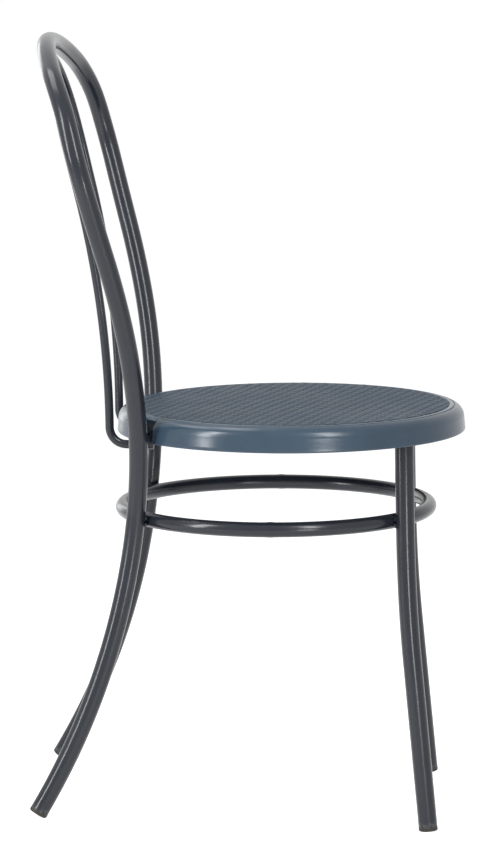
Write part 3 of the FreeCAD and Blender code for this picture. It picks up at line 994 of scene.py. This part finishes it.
@dataclass
class Rings:
    """The ring between the legs and the support ring under the seat."""

    layout: Layout
    joint_swell: float = 0.55
    joint_length: float = 5.0

    def closed_ring(self, radius: float, bar: float, segments: int, steps: int) -> BMesh:
        """A closed round ring about the origin.

        Args:
            radius: from the ring's axis to the bar's middle.
            bar: the bar's radius.
            segments: edges round the bar.
            steps: steps round the ring.

        Returns:
            The ring's mesh.
        """
        mesh = bmesh.new()
        upright = Matrix.Translation((radius, 0.0, 0.0)) @ Matrix.Rotation(math.pi / 2.0, 4, "X")
        bmesh.ops.create_circle(mesh, cap_ends=False, segments=segments, radius=bar, matrix=upright)
        spin_full(mesh, steps)
        return mesh

    def raise_joints(self, mesh: BMesh) -> None:
        """Swells the leg ring a little where its two halves are butt welded."""
        for vert in mesh.verts:
            flat = Vector((vert.co.x, vert.co.y, 0.0))
            middle = flat.normalized() * self.layout.ring_radius
            along = abs(vert.co.y)
            ridge = math.exp(-(along / self.joint_length) ** 2 * 2.0)
            uneven = 0.7 + 0.3 * math.sin(5.0 * vert.co.z + 1.3 * vert.co.x)
            out = (vert.co - middle).normalized()
            vert.co += out * (self.joint_swell * ridge * uneven)

    def build(self, bench: Workbench, finishes: Finishes) -> None:
        """Makes both rings and dresses them."""
        layout = self.layout
        ring = self.closed_ring(layout.ring_radius, layout.ring_bar, 40, 360)
        self.raise_joints(ring)
        move(ring, layout.ring_tip)
        bench.place(ring, "leg_ring_tube", finishes.powder, Slot.FRAME, ["leg_ring"])
        support = self.closed_ring(layout.support_radius, layout.support_bar, 28, 180)
        lift = Matrix.Translation((0.0, 0.0, layout.support_height))
        move(support, layout.seat_tip @ lift)
        bench.place(support, "support_ring_bar", finishes.powder, Slot.FRAME, ["seat_support_ring"])


@dataclass
class Seat:
    """The moulded seat: a deep skirt, a rounded edge, a grooved rim and a woven field."""

    layout: Layout
    radius: float = 200.0
    draft: float = 1.3
    wall: float = 3.0
    edge_round: float = 13.8
    bottom_round: float = 1.4
    field_radius: float = 182.0
    field_rise: float = 0.6
    groove_radius: float = 187.4
    groove_width: float = 1.6
    groove_depth: float = 1.8
    groove_lip: float = 0.22
    rim_crown: float = 0.35
    recess: float = 0.9
    inner_lip: float = 0.6
    rib_count: int = 12
    rib_thickness: float = 2.6
    rib_inner: float = 158.0
    boss_radius: float = 6.5
    screw_radius: float = 148.0
    tab_angle: float = 22.5
    notch_inner: float = 189.0
    notch_setback: float = 152.0
    notch_width: float = 30.0
    notch_overrun: float = 6.0
    notch_corner: float = 2.0
    root_depth: float = 1.2
    tab_half: float = 1.5
    stripe_pitch: float = 12.36
    stripe_turn: float = 15.93
    bead_pitch: float = 8.2
    relief: float = 1.6
    relief_middle: float = 0.6
    long_level: float = 0.84
    long_swing: float = 0.16
    cross_level: float = 0.26
    cross_swing: float = 0.24
    field_sink: float = 0.5
    field_gap: float = 0.3
    field_ease: float = 1.6
    field_depth: float = 1.2
    bow_depth: float = 3.0
    bow_length: float = 90.0
    grid_pitch: float = 1.3

    @cached_property
    def top(self) -> float:
        """Height of the seat's flat top."""
        return self.layout.seat_top_height

    @cached_property
    def bottom(self) -> float:
        """Height of the skirt's lower edge."""
        return self.layout.seat_edge_height

    @cached_property
    def flat_radius(self) -> float:
        """Where the flat top ends and the rounded edge begins."""
        return self.radius - self.draft - self.edge_round

    def crown(self, radius: float) -> float:
        """Height of the rounded edge, or of the top, at this distance from the axis."""
        over = max(0.0, radius - self.flat_radius)
        return self.top - self.edge_round + math.sqrt(max(0.0, self.edge_round ** 2 - over ** 2))

    def outer_profile(self) -> list[Vector]:
        """The outside in half section, from the skirt's lower edge to the middle."""
        turn = self.bottom_round
        points = section_arc((self.radius - turn, self.bottom + turn), turn, -90.0, 0.0, 4)
        side_top = self.top - self.edge_round
        for share in (0.25, 0.5, 0.75):
            height = points[4].z + (side_top - points[4].z) * share
            points += section((self.radius - self.draft * share, height))
        groove_out = self.groove_radius + self.groove_width / 2.0
        groove_in = self.groove_radius - self.groove_width / 2.0
        last_angle = math.degrees(math.acos((groove_out - self.flat_radius) / self.edge_round))
        points += section_arc((self.flat_radius, side_top), self.edge_round, 0.0, last_angle, 14)
        lip = self.groove_lip
        floor = self.crown(self.groove_radius) - self.groove_depth
        points += section(
            (groove_out - lip, self.crown(groove_out) - lip), (groove_out - lip, floor),
            (groove_in + lip, floor), (groove_in + lip, self.crown(groove_in) - lip),
        )
        rim_middle = 0.5 * (groove_in + self.field_radius)
        rim_half = 0.5 * (groove_in - self.field_radius)
        for step in range(9):
            radius = groove_in - (groove_in - self.field_radius) * step / 8.0
            bulge = 1.0 - ((radius - rim_middle) / rim_half) ** 2
            points += section((radius, self.crown(radius) + self.rim_crown * bulge))
        return points + section(
            (self.field_radius - 0.4, self.top - self.recess + 0.2),
            (self.field_radius - 6.0, self.top - self.recess), (0.0, self.top - self.recess),
        )

    def inner_profile(self) -> list[Vector]:
        """The inside in half section, from the middle to the skirt's lower edge."""
        under = self.top - self.wall
        inner_round = self.edge_round - self.wall
        inside, lip = self.radius - self.wall, self.inner_lip
        middle = (self.flat_radius, self.top - self.edge_round)
        return (
            section((0.0, under)) + section_arc(middle, inner_round, 90.0, 0.0, 8)
            + section((inside, self.bottom + lip), (inside + lip, self.bottom))
        )

    def skin(self) -> BMesh:
        """The turned skin, before its notches are cut."""
        mesh = bmesh.new()
        outline = self.outer_profile() + self.inner_profile()
        verts = [mesh.verts.new(point) for point in outline]
        middle = len(self.outer_profile()) - 1
        for index in range(len(verts)):
            if index != middle:
                mesh.edges.new((verts[index], verts[(index + 1) % len(verts)]))
        spin_full(mesh, 240)
        return mesh

    def rib(self, mesh: BMesh, degrees: float) -> None:
        """Adds one short rib under the seat's edge."""
        low = self.layout.support_height + self.layout.support_bar
        under = self.top - self.wall + self.root_depth
        inside = self.radius - self.wall + 1.0
        corners = [
            (self.rib_inner, low), (inside, low), (inside - 0.6, low + 7.0),
            (inside - 5.0, under - 2.5), (inside - 11.0, under), (self.rib_inner, under),
        ]
        half = self.rib_thickness / 2.0
        face = mesh.faces.new([mesh.verts.new((r, -half, z)) for r, z in corners])
        grown = bmesh.ops.extrude_face_region(mesh, geom=[face])["geom"]
        fresh = only(grown, BMVert)
        bmesh.ops.translate(mesh, vec=(0.0, self.rib_thickness, 0.0), verts=fresh)
        spin = Matrix.Rotation(math.radians(degrees), 4, "Z")
        bmesh.ops.transform(mesh, matrix=spin, verts=list(face.verts) + fresh)

    def boss(self, mesh: BMesh, degrees: float) -> None:
        """Adds one screw boss under the seat."""
        low = self.layout.support_height + self.tab_half
        depth = self.top - self.wall + self.root_depth - low
        spot = Matrix.Translation(polar(self.screw_radius, degrees, low + depth / 2.0))
        bmesh.ops.create_cone(
            mesh, cap_ends=True, cap_tris=False, segments=32, radius1=self.boss_radius,
            radius2=self.boss_radius + 0.4, depth=depth, matrix=spot,
        )

    def underside(self) -> BMesh:
        """Ribs and bosses as one mesh of separate closed forms."""
        mesh = bmesh.new()
        for index in range(self.rib_count):
            self.rib(mesh, index * 360.0 / self.rib_count)
        for degrees in (-self.tab_angle, self.tab_angle, 180.0 - self.tab_angle,
                        180.0 + self.tab_angle):
            self.boss(mesh, degrees)
        bmesh.ops.recalc_face_normals(mesh, faces=mesh.faces[:])
        return mesh

    def notch_cutters(self) -> BMesh:
        """Blocks that open the skirt beside each rear leg, with rounded inner corners."""
        mesh = bmesh.new()
        front = math.degrees(math.asin(self.notch_setback / self.radius))
        half = math.degrees(math.asin(self.notch_width / 2.0 / self.radius))
        depth = self.radius - self.notch_inner + self.notch_overrun
        height = self.top - self.bottom + 2.0 * self.notch_overrun
        for degrees in (front + half, 180.0 - front - half):
            block = bmesh.new()
            bmesh.ops.create_cube(block, size=1.0)
            bmesh.ops.scale(block, vec=(depth, self.notch_width, height), verts=block.verts[:])
            upright = [e for e in block.edges if abs(e.verts[0].co.z - e.verts[1].co.z) > 1.0]
            round_off(block, upright, self.notch_corner, 5)
            middle = polar(self.notch_inner + depth / 2.0, 0.0, 0.5 * (self.top + self.bottom))
            spin = Matrix.Rotation(math.radians(degrees), 4, "Z") @ Matrix.Translation(middle)
            move(block, spin)
            holder = settle(block, "block")
            mesh.from_mesh(holder)
            bpy.data.meshes.remove(holder)
        bmesh.ops.recalc_face_normals(mesh, faces=mesh.faces[:])
        return mesh

    def weave_at(self, x: float, y: float) -> tuple[float, float]:
        """The weave at a place on the field.

        Args:
            x: place from left to right.
            y: place from front to back.

        Returns:
            The height from 0 to 1, and 1 where the long strands are on top or 0 where not.
        """
        turn = math.radians(self.stripe_turn)
        bow = self.bow_depth * math.sin(x / self.bow_length)
        across = (x * math.sin(turn) + (y + bow) * math.cos(turn)) / self.stripe_pitch
        along = (x * math.cos(turn) - y * math.sin(turn)) / self.bead_pitch
        band, knot = math.floor(across), math.floor(along)
        side = 2.0 * (across - band) - 1.0
        other = 2.0 * (along - knot) - 1.0
        long_way = math.sqrt(max(0.0, 1.0 - 0.96 * side ** 2))
        cross_way = math.sqrt(max(0.0, 1.0 - 0.9 * other ** 2))
        long_way *= self.long_level + self.long_swing * math.cos(math.pi * (along - 0.5 - band))
        cross_wave = math.cos(math.pi * (across - 0.5 - knot))
        cross_way *= self.cross_level - self.cross_swing * cross_wave
        return max(long_way, cross_way), 1.0 if long_way >= cross_way else 0.0

    def woven_field(self) -> BMesh:
        """The raised field with its moulded weave, closed below."""
        mesh = bmesh.new()
        reach = self.field_radius + 2.0
        count = round(2.0 * reach / self.grid_pitch)
        bmesh.ops.create_grid(mesh, x_segments=count, y_segments=count, size=reach)
        edge = self.field_radius - self.field_gap
        outside = [f for f in mesh.faces if f.calc_center_median().length > edge - 0.2]
        bmesh.ops.delete(mesh, geom=outside, context="FACES")
        for vert in [v for v in mesh.verts if v.is_boundary]:
            vert.co *= edge / vert.co.length
        # The relief attribute also drives the painted shade in the weave's hollows.
        relief = mesh.verts.layers.float.new("relief")
        over = mesh.verts.layers.float.new("over")
        for vert in mesh.verts:
            high, on_top = self.weave_at(vert.co.x, vert.co.y)
            inside = min(1.0, max(0.0, (edge - vert.co.to_2d().length) / self.field_ease))
            ease = inside * inside * (3.0 - 2.0 * inside)
            vert[relief] = high * ease
            vert[over] = on_top
            rise = self.field_rise + self.relief * (high - self.relief_middle)
            vert.co.z = self.top - self.field_sink + (rise + self.field_sink) * ease
        rim = [e for e in mesh.edges if e.is_boundary]
        grown = bmesh.ops.extrude_edge_only(mesh, edges=rim)["geom"]
        low_rim = [edge for edge in only(grown, BMEdge) if edge.is_boundary]
        bmesh.ops.translate(mesh, vec=(0.0, 0.0, -self.field_depth), verts=only(grown, BMVert))
        bmesh.ops.contextual_create(mesh, geom=low_rim)
        return mesh

    def build(self, bench: Workbench, finishes: Finishes) -> None:
        """Makes the seat's two surfaces and dresses them."""
        shell = bench.combine(self.skin(), self.underside(), "UNION")
        shell = bench.combine(shell, self.notch_cutters(), "DIFFERENCE")
        bmesh.ops.remove_doubles(shell, verts=shell.verts[:], dist=1e-3)
        move(shell, self.layout.seat_tip)
        bench.place(shell, "seat_shell_moulding", finishes.plastic, Slot.SEAT, ["seat_shell"])
        field_mesh = self.woven_field()
        move(field_mesh, self.layout.seat_tip)
        bench.place(field_mesh, "seat_woven_field", finishes.weave, Slot.SEAT, ["seat_shell"], 60.0)


@dataclass
class FootPlug:
    """A plastic plug in the end of a leg, with a flat where it stands on the floor."""

    layout: Layout
    foot: Station
    word: str
    side: Side
    edge_round: float = 1.2
    stem_length: float = 14.0
    stem_clearance: float = 0.3
    fin_count: int = 3
    fin_reach: float = 1.0
    dish: float = 0.25

    def profile(self) -> list[Vector]:
        """Half section of the plug, from the middle of its foot to the top of its stem."""
        tube, thick = self.layout.tube, self.layout.cap_thickness
        bore = tube - self.layout.tube_wall - self.stem_clearance
        turn = self.edge_round
        points = section((0.0, -thick + self.dish), (tube * 0.55, -thick))
        points += section_arc((tube - turn, -thick + turn), turn, -90.0, 0.0, 4)
        points += section((tube, -0.35), (tube - 0.3, 0.0), (bore - self.fin_reach, 0.0))
        pitch = (self.stem_length - 2.0) / self.fin_count
        for fin in range(self.fin_count):
            base = 1.0 + fin * pitch
            points += section((bore - self.fin_reach, base), (bore, base + 0.4),
                              (bore - 0.9, base + pitch * 0.8))
        return points + section((bore - 1.6, self.stem_length), (0.0, self.stem_length))

    def build(self, bench: Workbench, finishes: Finishes) -> None:
        """Makes the plug, cuts its flat and dresses it."""
        mesh = bmesh.new()
        verts = [mesh.verts.new(point) for point in self.profile()]
        for before, after in zip(verts[:-1], verts[1:]):
            mesh.edges.new((before, after))
        spin_full(mesh, 56)
        turn = Vector((0.0, 0.0, 1.0)).rotation_difference(self.foot.way).to_matrix().to_4x4()
        move(mesh, Matrix.Translation(self.foot.place) @ turn)
        cut = bmesh.ops.bisect_plane(
            mesh, geom=mesh.verts[:] + mesh.edges[:] + mesh.faces[:], dist=1e-4,
            plane_co=(0.0, 0.0, 0.0), plane_no=(0.0, 0.0, -1.0), clear_outer=True,
        )
        bmesh.ops.contextual_create(mesh, geom=only(cut["geom_cut"], BMEdge))
        if self.side is Side.RIGHT:
            flip_to_right(mesh)
        name = f"foot_plug_{self.word}_{self.side.word}"
        node = f"foot_cap_{self.word}_{self.side.word}"
        bench.place(mesh, name, finishes.plug, Slot.CAP, [node])


@dataclass
class Welds:
    """Rippled weld beads where bars meet."""

    layout: Layout
    ring_bead: float = 2.3
    crest_bead: float = 1.9
    ripple_pitch: float = 1.6
    ripple: float = 0.12
    ring_lift: float = 5.4
    ring_wrap: float = 40.0
    ring_fall: float = 0.62
    ring_proud: float = 0.6
    crest_offset: float = 3.4
    crest_reach: float = 0.8
    crest_half: float = 7.0
    support_offset: float = 4.6
    support_sink: float = 0.2
    support_wrap: float = 60.0
    support_proud: float = 0.4

    def bead(self, mesh: BMesh, path: Sequence[Station], radius: float) -> None:
        """Adds a bead along a path, rippled and tapered at both ends.

        Args:
            mesh: the mesh to add to.
            path: the bead's centre line.
            radius: its radius at the middle.
        """
        length = sum((b.place - a.place).length for a, b in zip(path[:-1], path[1:]))

        def swell(share: float) -> float:
            """Factor on the bead's radius by share of its length."""
            taper = math.sqrt(max(0.02, 1.0 - (2.0 * share - 1.0) ** 4))
            ripple = 1.0 + self.ripple * math.sin(FULL_TURN * share * length / self.ripple_pitch)
            return taper * ripple

        for ring in sweep(mesh, path, radius, 16, swell):
            close_end(mesh, ring)

    def ring_path(self, side_view: SideView, above: bool) -> list[Station]:
        """The line of a bead that wraps part of a leg where the leg ring touches it.

        Args:
            side_view: the leg's side view.
            above: True for the bead over the ring's bar, False for the one under it.

        Returns:
            Stations along the bead.
        """
        layout = self.layout
        contact = layout.ring_contact(side_view)
        inward = Vector((-contact.x, layout.ring_centre_y - contact.y, 0.0)).normalized()
        sideways = Vector((-inward.y, inward.x, 0.0))
        lift = self.ring_lift if above else -self.ring_lift
        wrap = math.radians(self.ring_wrap)
        path = []
        for step in range(25):
            angle = wrap * (step / 12.0 - 1.0)
            spoke = inward * math.cos(angle) + sideways * math.sin(angle)
            way = sideways * math.cos(angle) - inward * math.sin(angle)
            drop = Vector((0.0, 0.0, lift * (1.0 - self.ring_fall * (angle / wrap) ** 2)))
            place = contact + spoke * (layout.tube + self.ring_proud) + drop
            path.append(Station(place, way))
        return path

    def crest_path(self, hoop: OuterHoop, inner: InnerHoop, behind: bool) -> list[Station]:
        """The line of a bead between the two hoops at the crest."""
        low = inner.stations()[-1].place
        high = hoop.stations()[-1].place
        way = (high - low).normalized()
        offset = self.crest_offset if behind else -self.crest_offset
        across = Vector((0.0, way.z, -way.y)) * offset
        middle = low + way * (self.layout.inner_bar + self.crest_reach) + across
        along = Vector((1.0, 0.0, 0.0))
        half = self.crest_half
        return [Station(middle + along * (half * (s / 14.0 - 1.0)), along) for s in range(29)]

    def support_path(self, inner: InnerHoop, ahead: float) -> list[Station]:
        """The line of a bead across the inner hoop's end, under the support ring."""
        layout = self.layout
        x = inner.foot_half
        y = math.sqrt(layout.support_radius ** 2 - x ** 2)
        height = layout.support_bottom(x) - self.support_sink
        middle = Vector((x, y + ahead * self.support_offset, height))
        reach = layout.inner_bar + self.support_proud
        path = []
        for step in range(17):
            cos, sin = cos_sin(self.support_wrap * (step / 8.0 - 1.0))
            offset = Vector((sin, 0.0, cos - 1.0)) * reach
            path.append(Station(middle + offset, Vector((cos, 0.0, -sin))))
        return path

    def mirror_over(self, mesh: BMesh) -> None:
        """Adds the same beads on the other side."""
        doubled = bmesh.ops.duplicate(mesh, geom=mesh.verts[:] + mesh.edges[:] + mesh.faces[:])
        bmesh.ops.scale(mesh, vec=(-1.0, 1.0, 1.0), verts=only(doubled["geom"], BMVert))

    def build(self, bench: Workbench, finishes: Finishes, hoop: OuterHoop, inner: InnerHoop) -> None:
        """Makes every bead and dresses it.

        Args:
            bench: places the pieces.
            finishes: the chair's materials.
            hoop: the outer hoop.
            inner: the inner hoop.
        """
        ring = bmesh.new()
        for view in (self.layout.outer, self.layout.leg):
            for above in (True, False):
                self.bead(ring, self.ring_path(view, above), self.ring_bead)
        self.mirror_over(ring)
        bench.place(ring, "leg_ring_weld_beads", finishes.weld, Slot.FRAME, ["leg_ring_welds"])
        crest = bmesh.new()
        for behind in (True, False):
            self.bead(crest, self.crest_path(hoop, inner, behind), self.crest_bead)
        bench.place(crest, "hoop_crest_weld_beads", finishes.weld, Slot.FRAME, ["hoop_crest_welds"])
        under = bmesh.new()
        for ahead in (1.0, -1.0):
            self.bead(under, self.support_path(inner, ahead), self.ring_bead)
        self.mirror_over(under)
        bench.place(under, "support_weld_beads", finishes.weld, Slot.FRAME, ["support_ring_welds"])


@dataclass
class SeatMount:
    """The brackets, tabs, screws and washers under the seat, kept as the CAD made them."""

    coated: tuple[str, ...] = (
        "rear_bracket_left", "rear_bracket_right", "seat_tab_front_left", "seat_tab_rear_left",
        "seat_tab_rear_right", "seat_tab_front_right",
    )
    plated: tuple[str, ...] = ("seat_screws", "seat_washers")

    def build(self, bench: Workbench, finishes: Finishes) -> None:
        """Dresses the kept nodes."""
        for name in self.coated:
            bench.dress_node(name, finishes.powder)
        for name in self.plated:
            bench.dress_node(name, finishes.plated)


@dataclass(frozen=True)
class Softbox:
    """A tall studio lamp that faces the chair."""

    name: str
    azimuth: float
    distance: float
    height: float
    size: tuple[float, float]
    radiance: float

    def place(self, target: Vector) -> None:
        """Sets the lamp up.

        Args:
            target: the point it faces.
        """
        lamp = bpy.data.lights.new(self.name, "AREA")
        lamp.shape = "RECTANGLE"
        lamp.size, lamp.size_y = self.size
        lamp.energy = self.radiance * math.pi * self.size[0] * self.size[1]
        stand = link_new(self.name, lamp)
        angle = math.radians(self.azimuth)
        stand.location = (
            target.x - self.distance * math.cos(angle),
            target.y + self.distance * math.sin(angle),
            self.height,
        )
        stand.rotation_euler = (target - stand.location).to_track_quat("-Z", "Y").to_euler()


@dataclass
class Studio:
    """Floor, backdrop, lamps and camera."""

    floor_half: float = 90.0
    floor_tone: float = 0.8
    floor_roughness: float = 0.9
    floor_specular: float = 0.1
    floor_glow: float = 0.74
    world_level: float = 0.32
    focal_pixels: float = 4365.0
    picture_height: float = 864.0
    sensor: float = 36.0
    clip_end: float = 400.0
    lamp_aim: float = 0.45
    camera_place: tuple[float, float, float] = (-4.9690, -0.19638, 1.1425)
    camera_yaw: float = 2.257
    camera_pitch: float = 8.212
    camera_roll: float = 1.490
    lamps: tuple[Softbox, ...] = (
        Softbox("softbox_rear", 54.0, 2.0, 1.15, (0.30, 1.7), 19.0),
        Softbox("softbox_front", -28.0, 1.8, 1.75, (0.30, 1.3), 19.0),
        Softbox("softbox_front_low", -24.0, 1.8, 0.32, (0.24, 0.34), 18.0),
        Softbox("softbox_back", 148.0, 2.0, 0.75, (0.5, 1.1), 1.7),
        Softbox("softbox_top", 105.0, 1.0, 2.3, (1.1, 1.1), 4.0),
    )

    def seen_rays(self, board: NodeBoard) -> bpy.types.NodeSocket:
        """1 for rays from the camera, from gloss or through glass, and 0 for the rest."""
        path = board.add("ShaderNodeLightPath")
        seen = board.sums("ADD", path.outputs["Is Camera Ray"], path.outputs["Is Glossy Ray"])
        return board.sums("MINIMUM", board.sums("ADD", seen, path.outputs["Is Transmission Ray"]), 1.0)

    def lay_floor(self) -> None:
        """Makes a wide pale floor that shows white and keeps the chair's shadow."""
        mesh = bmesh.new()
        bmesh.ops.create_grid(mesh, x_segments=4, y_segments=4, size=self.floor_half)
        data = settle(mesh, "studio_floor")
        floor = link_new("studio_floor", data)
        material = bpy.data.materials.new("pale_floor")
        material.use_nodes = True
        board = NodeBoard(material.node_tree)
        shader = material.node_tree.nodes["Principled BSDF"]
        shader.inputs["Base Color"].default_value = (*[self.floor_tone] * 3, 1.0)
        shader.inputs["Roughness"].default_value = self.floor_roughness
        shader.inputs["Specular IOR Level"].default_value = self.floor_specular
        shader.inputs["Emission Color"].default_value = (1.0, 1.0, 1.0, 1.0)
        glow = board.sums("MULTIPLY", self.seen_rays(board), self.floor_glow)
        board.feed(shader.inputs["Emission Strength"], glow)
        data.materials.append(material)

    def light_world(self) -> None:
        """Lights the world evenly, and shows it white where it is seen."""
        world = bpy.data.worlds.new("studio_world")
        bpy.context.scene.world = world
        world.use_nodes = True
        board = NodeBoard(world.node_tree)
        background = world.node_tree.nodes["Background"]
        background.inputs["Color"].default_value = (1.0, 1.0, 1.0, 1.0)
        level = board.spread(self.seen_rays(board), 0.0, 1.0, self.world_level, 1.0)
        board.feed(background.inputs["Strength"], level)

    def set_camera(self) -> None:
        """Stands the camera where the photograph was taken from."""
        data = bpy.data.cameras.new("photo_camera")
        data.sensor_fit = "VERTICAL"
        data.sensor_width = self.sensor
        data.sensor_height = self.sensor
        data.lens = self.focal_pixels / self.picture_height * self.sensor
        data.clip_end = self.clip_end
        camera = link_new("photo_camera", data)
        yaw, pitch, roll = (
            math.radians(a) for a in (self.camera_yaw, self.camera_pitch, self.camera_roll)
        )
        ahead = Vector((math.cos(yaw) * math.cos(pitch), math.sin(yaw) * math.cos(pitch),
                        -math.sin(pitch)))
        level = Vector((math.sin(yaw), -math.cos(yaw), 0.0))
        upward = level.cross(ahead)
        right = math.cos(roll) * level + math.sin(roll) * upward
        above = -math.sin(roll) * level + math.cos(roll) * upward
        axes = Matrix((right, above, -ahead)).transposed().to_4x4()
        camera.matrix_world = Matrix.Translation(self.camera_place) @ axes
        bpy.context.scene.camera = camera

    def build(self) -> None:
        """Sets up the whole studio."""
        self.lay_floor()
        self.light_world()
        for lamp in self.lamps:
            lamp.place(Vector((0.0, 0.0, self.lamp_aim)))
        self.set_camera()
        bpy.context.scene.view_settings.view_transform = "Standard"


def main() -> None:
    """Builds the chair and the studio round it."""
    logging.basicConfig(level=logging.INFO, format="%(name)s: %(message)s")
    layout = Layout()
    bench = Workbench(layout)
    finishes = Finishes()
    hoop, inner = OuterHoop(layout), InnerHoop(layout)
    hoop.build(bench, finishes)
    inner.build(bench, finishes)
    rear_foot = hoop.stations()[0]
    for side in Side:
        leg = FrontLeg(layout, side)
        leg.build(bench, finishes)
        FootPlug(layout, leg.stations()[0], "front", side).build(bench, finishes)
        FootPlug(layout, rear_foot, "rear", side).build(bench, finishes)
    Rings(layout).build(bench, finishes)
    Welds(layout).build(bench, finishes, hoop, inner)
    Seat(layout).build(bench, finishes)
    SeatMount().build(bench, finishes)
    Studio().build()


if __name__ == "__main__":
    main()
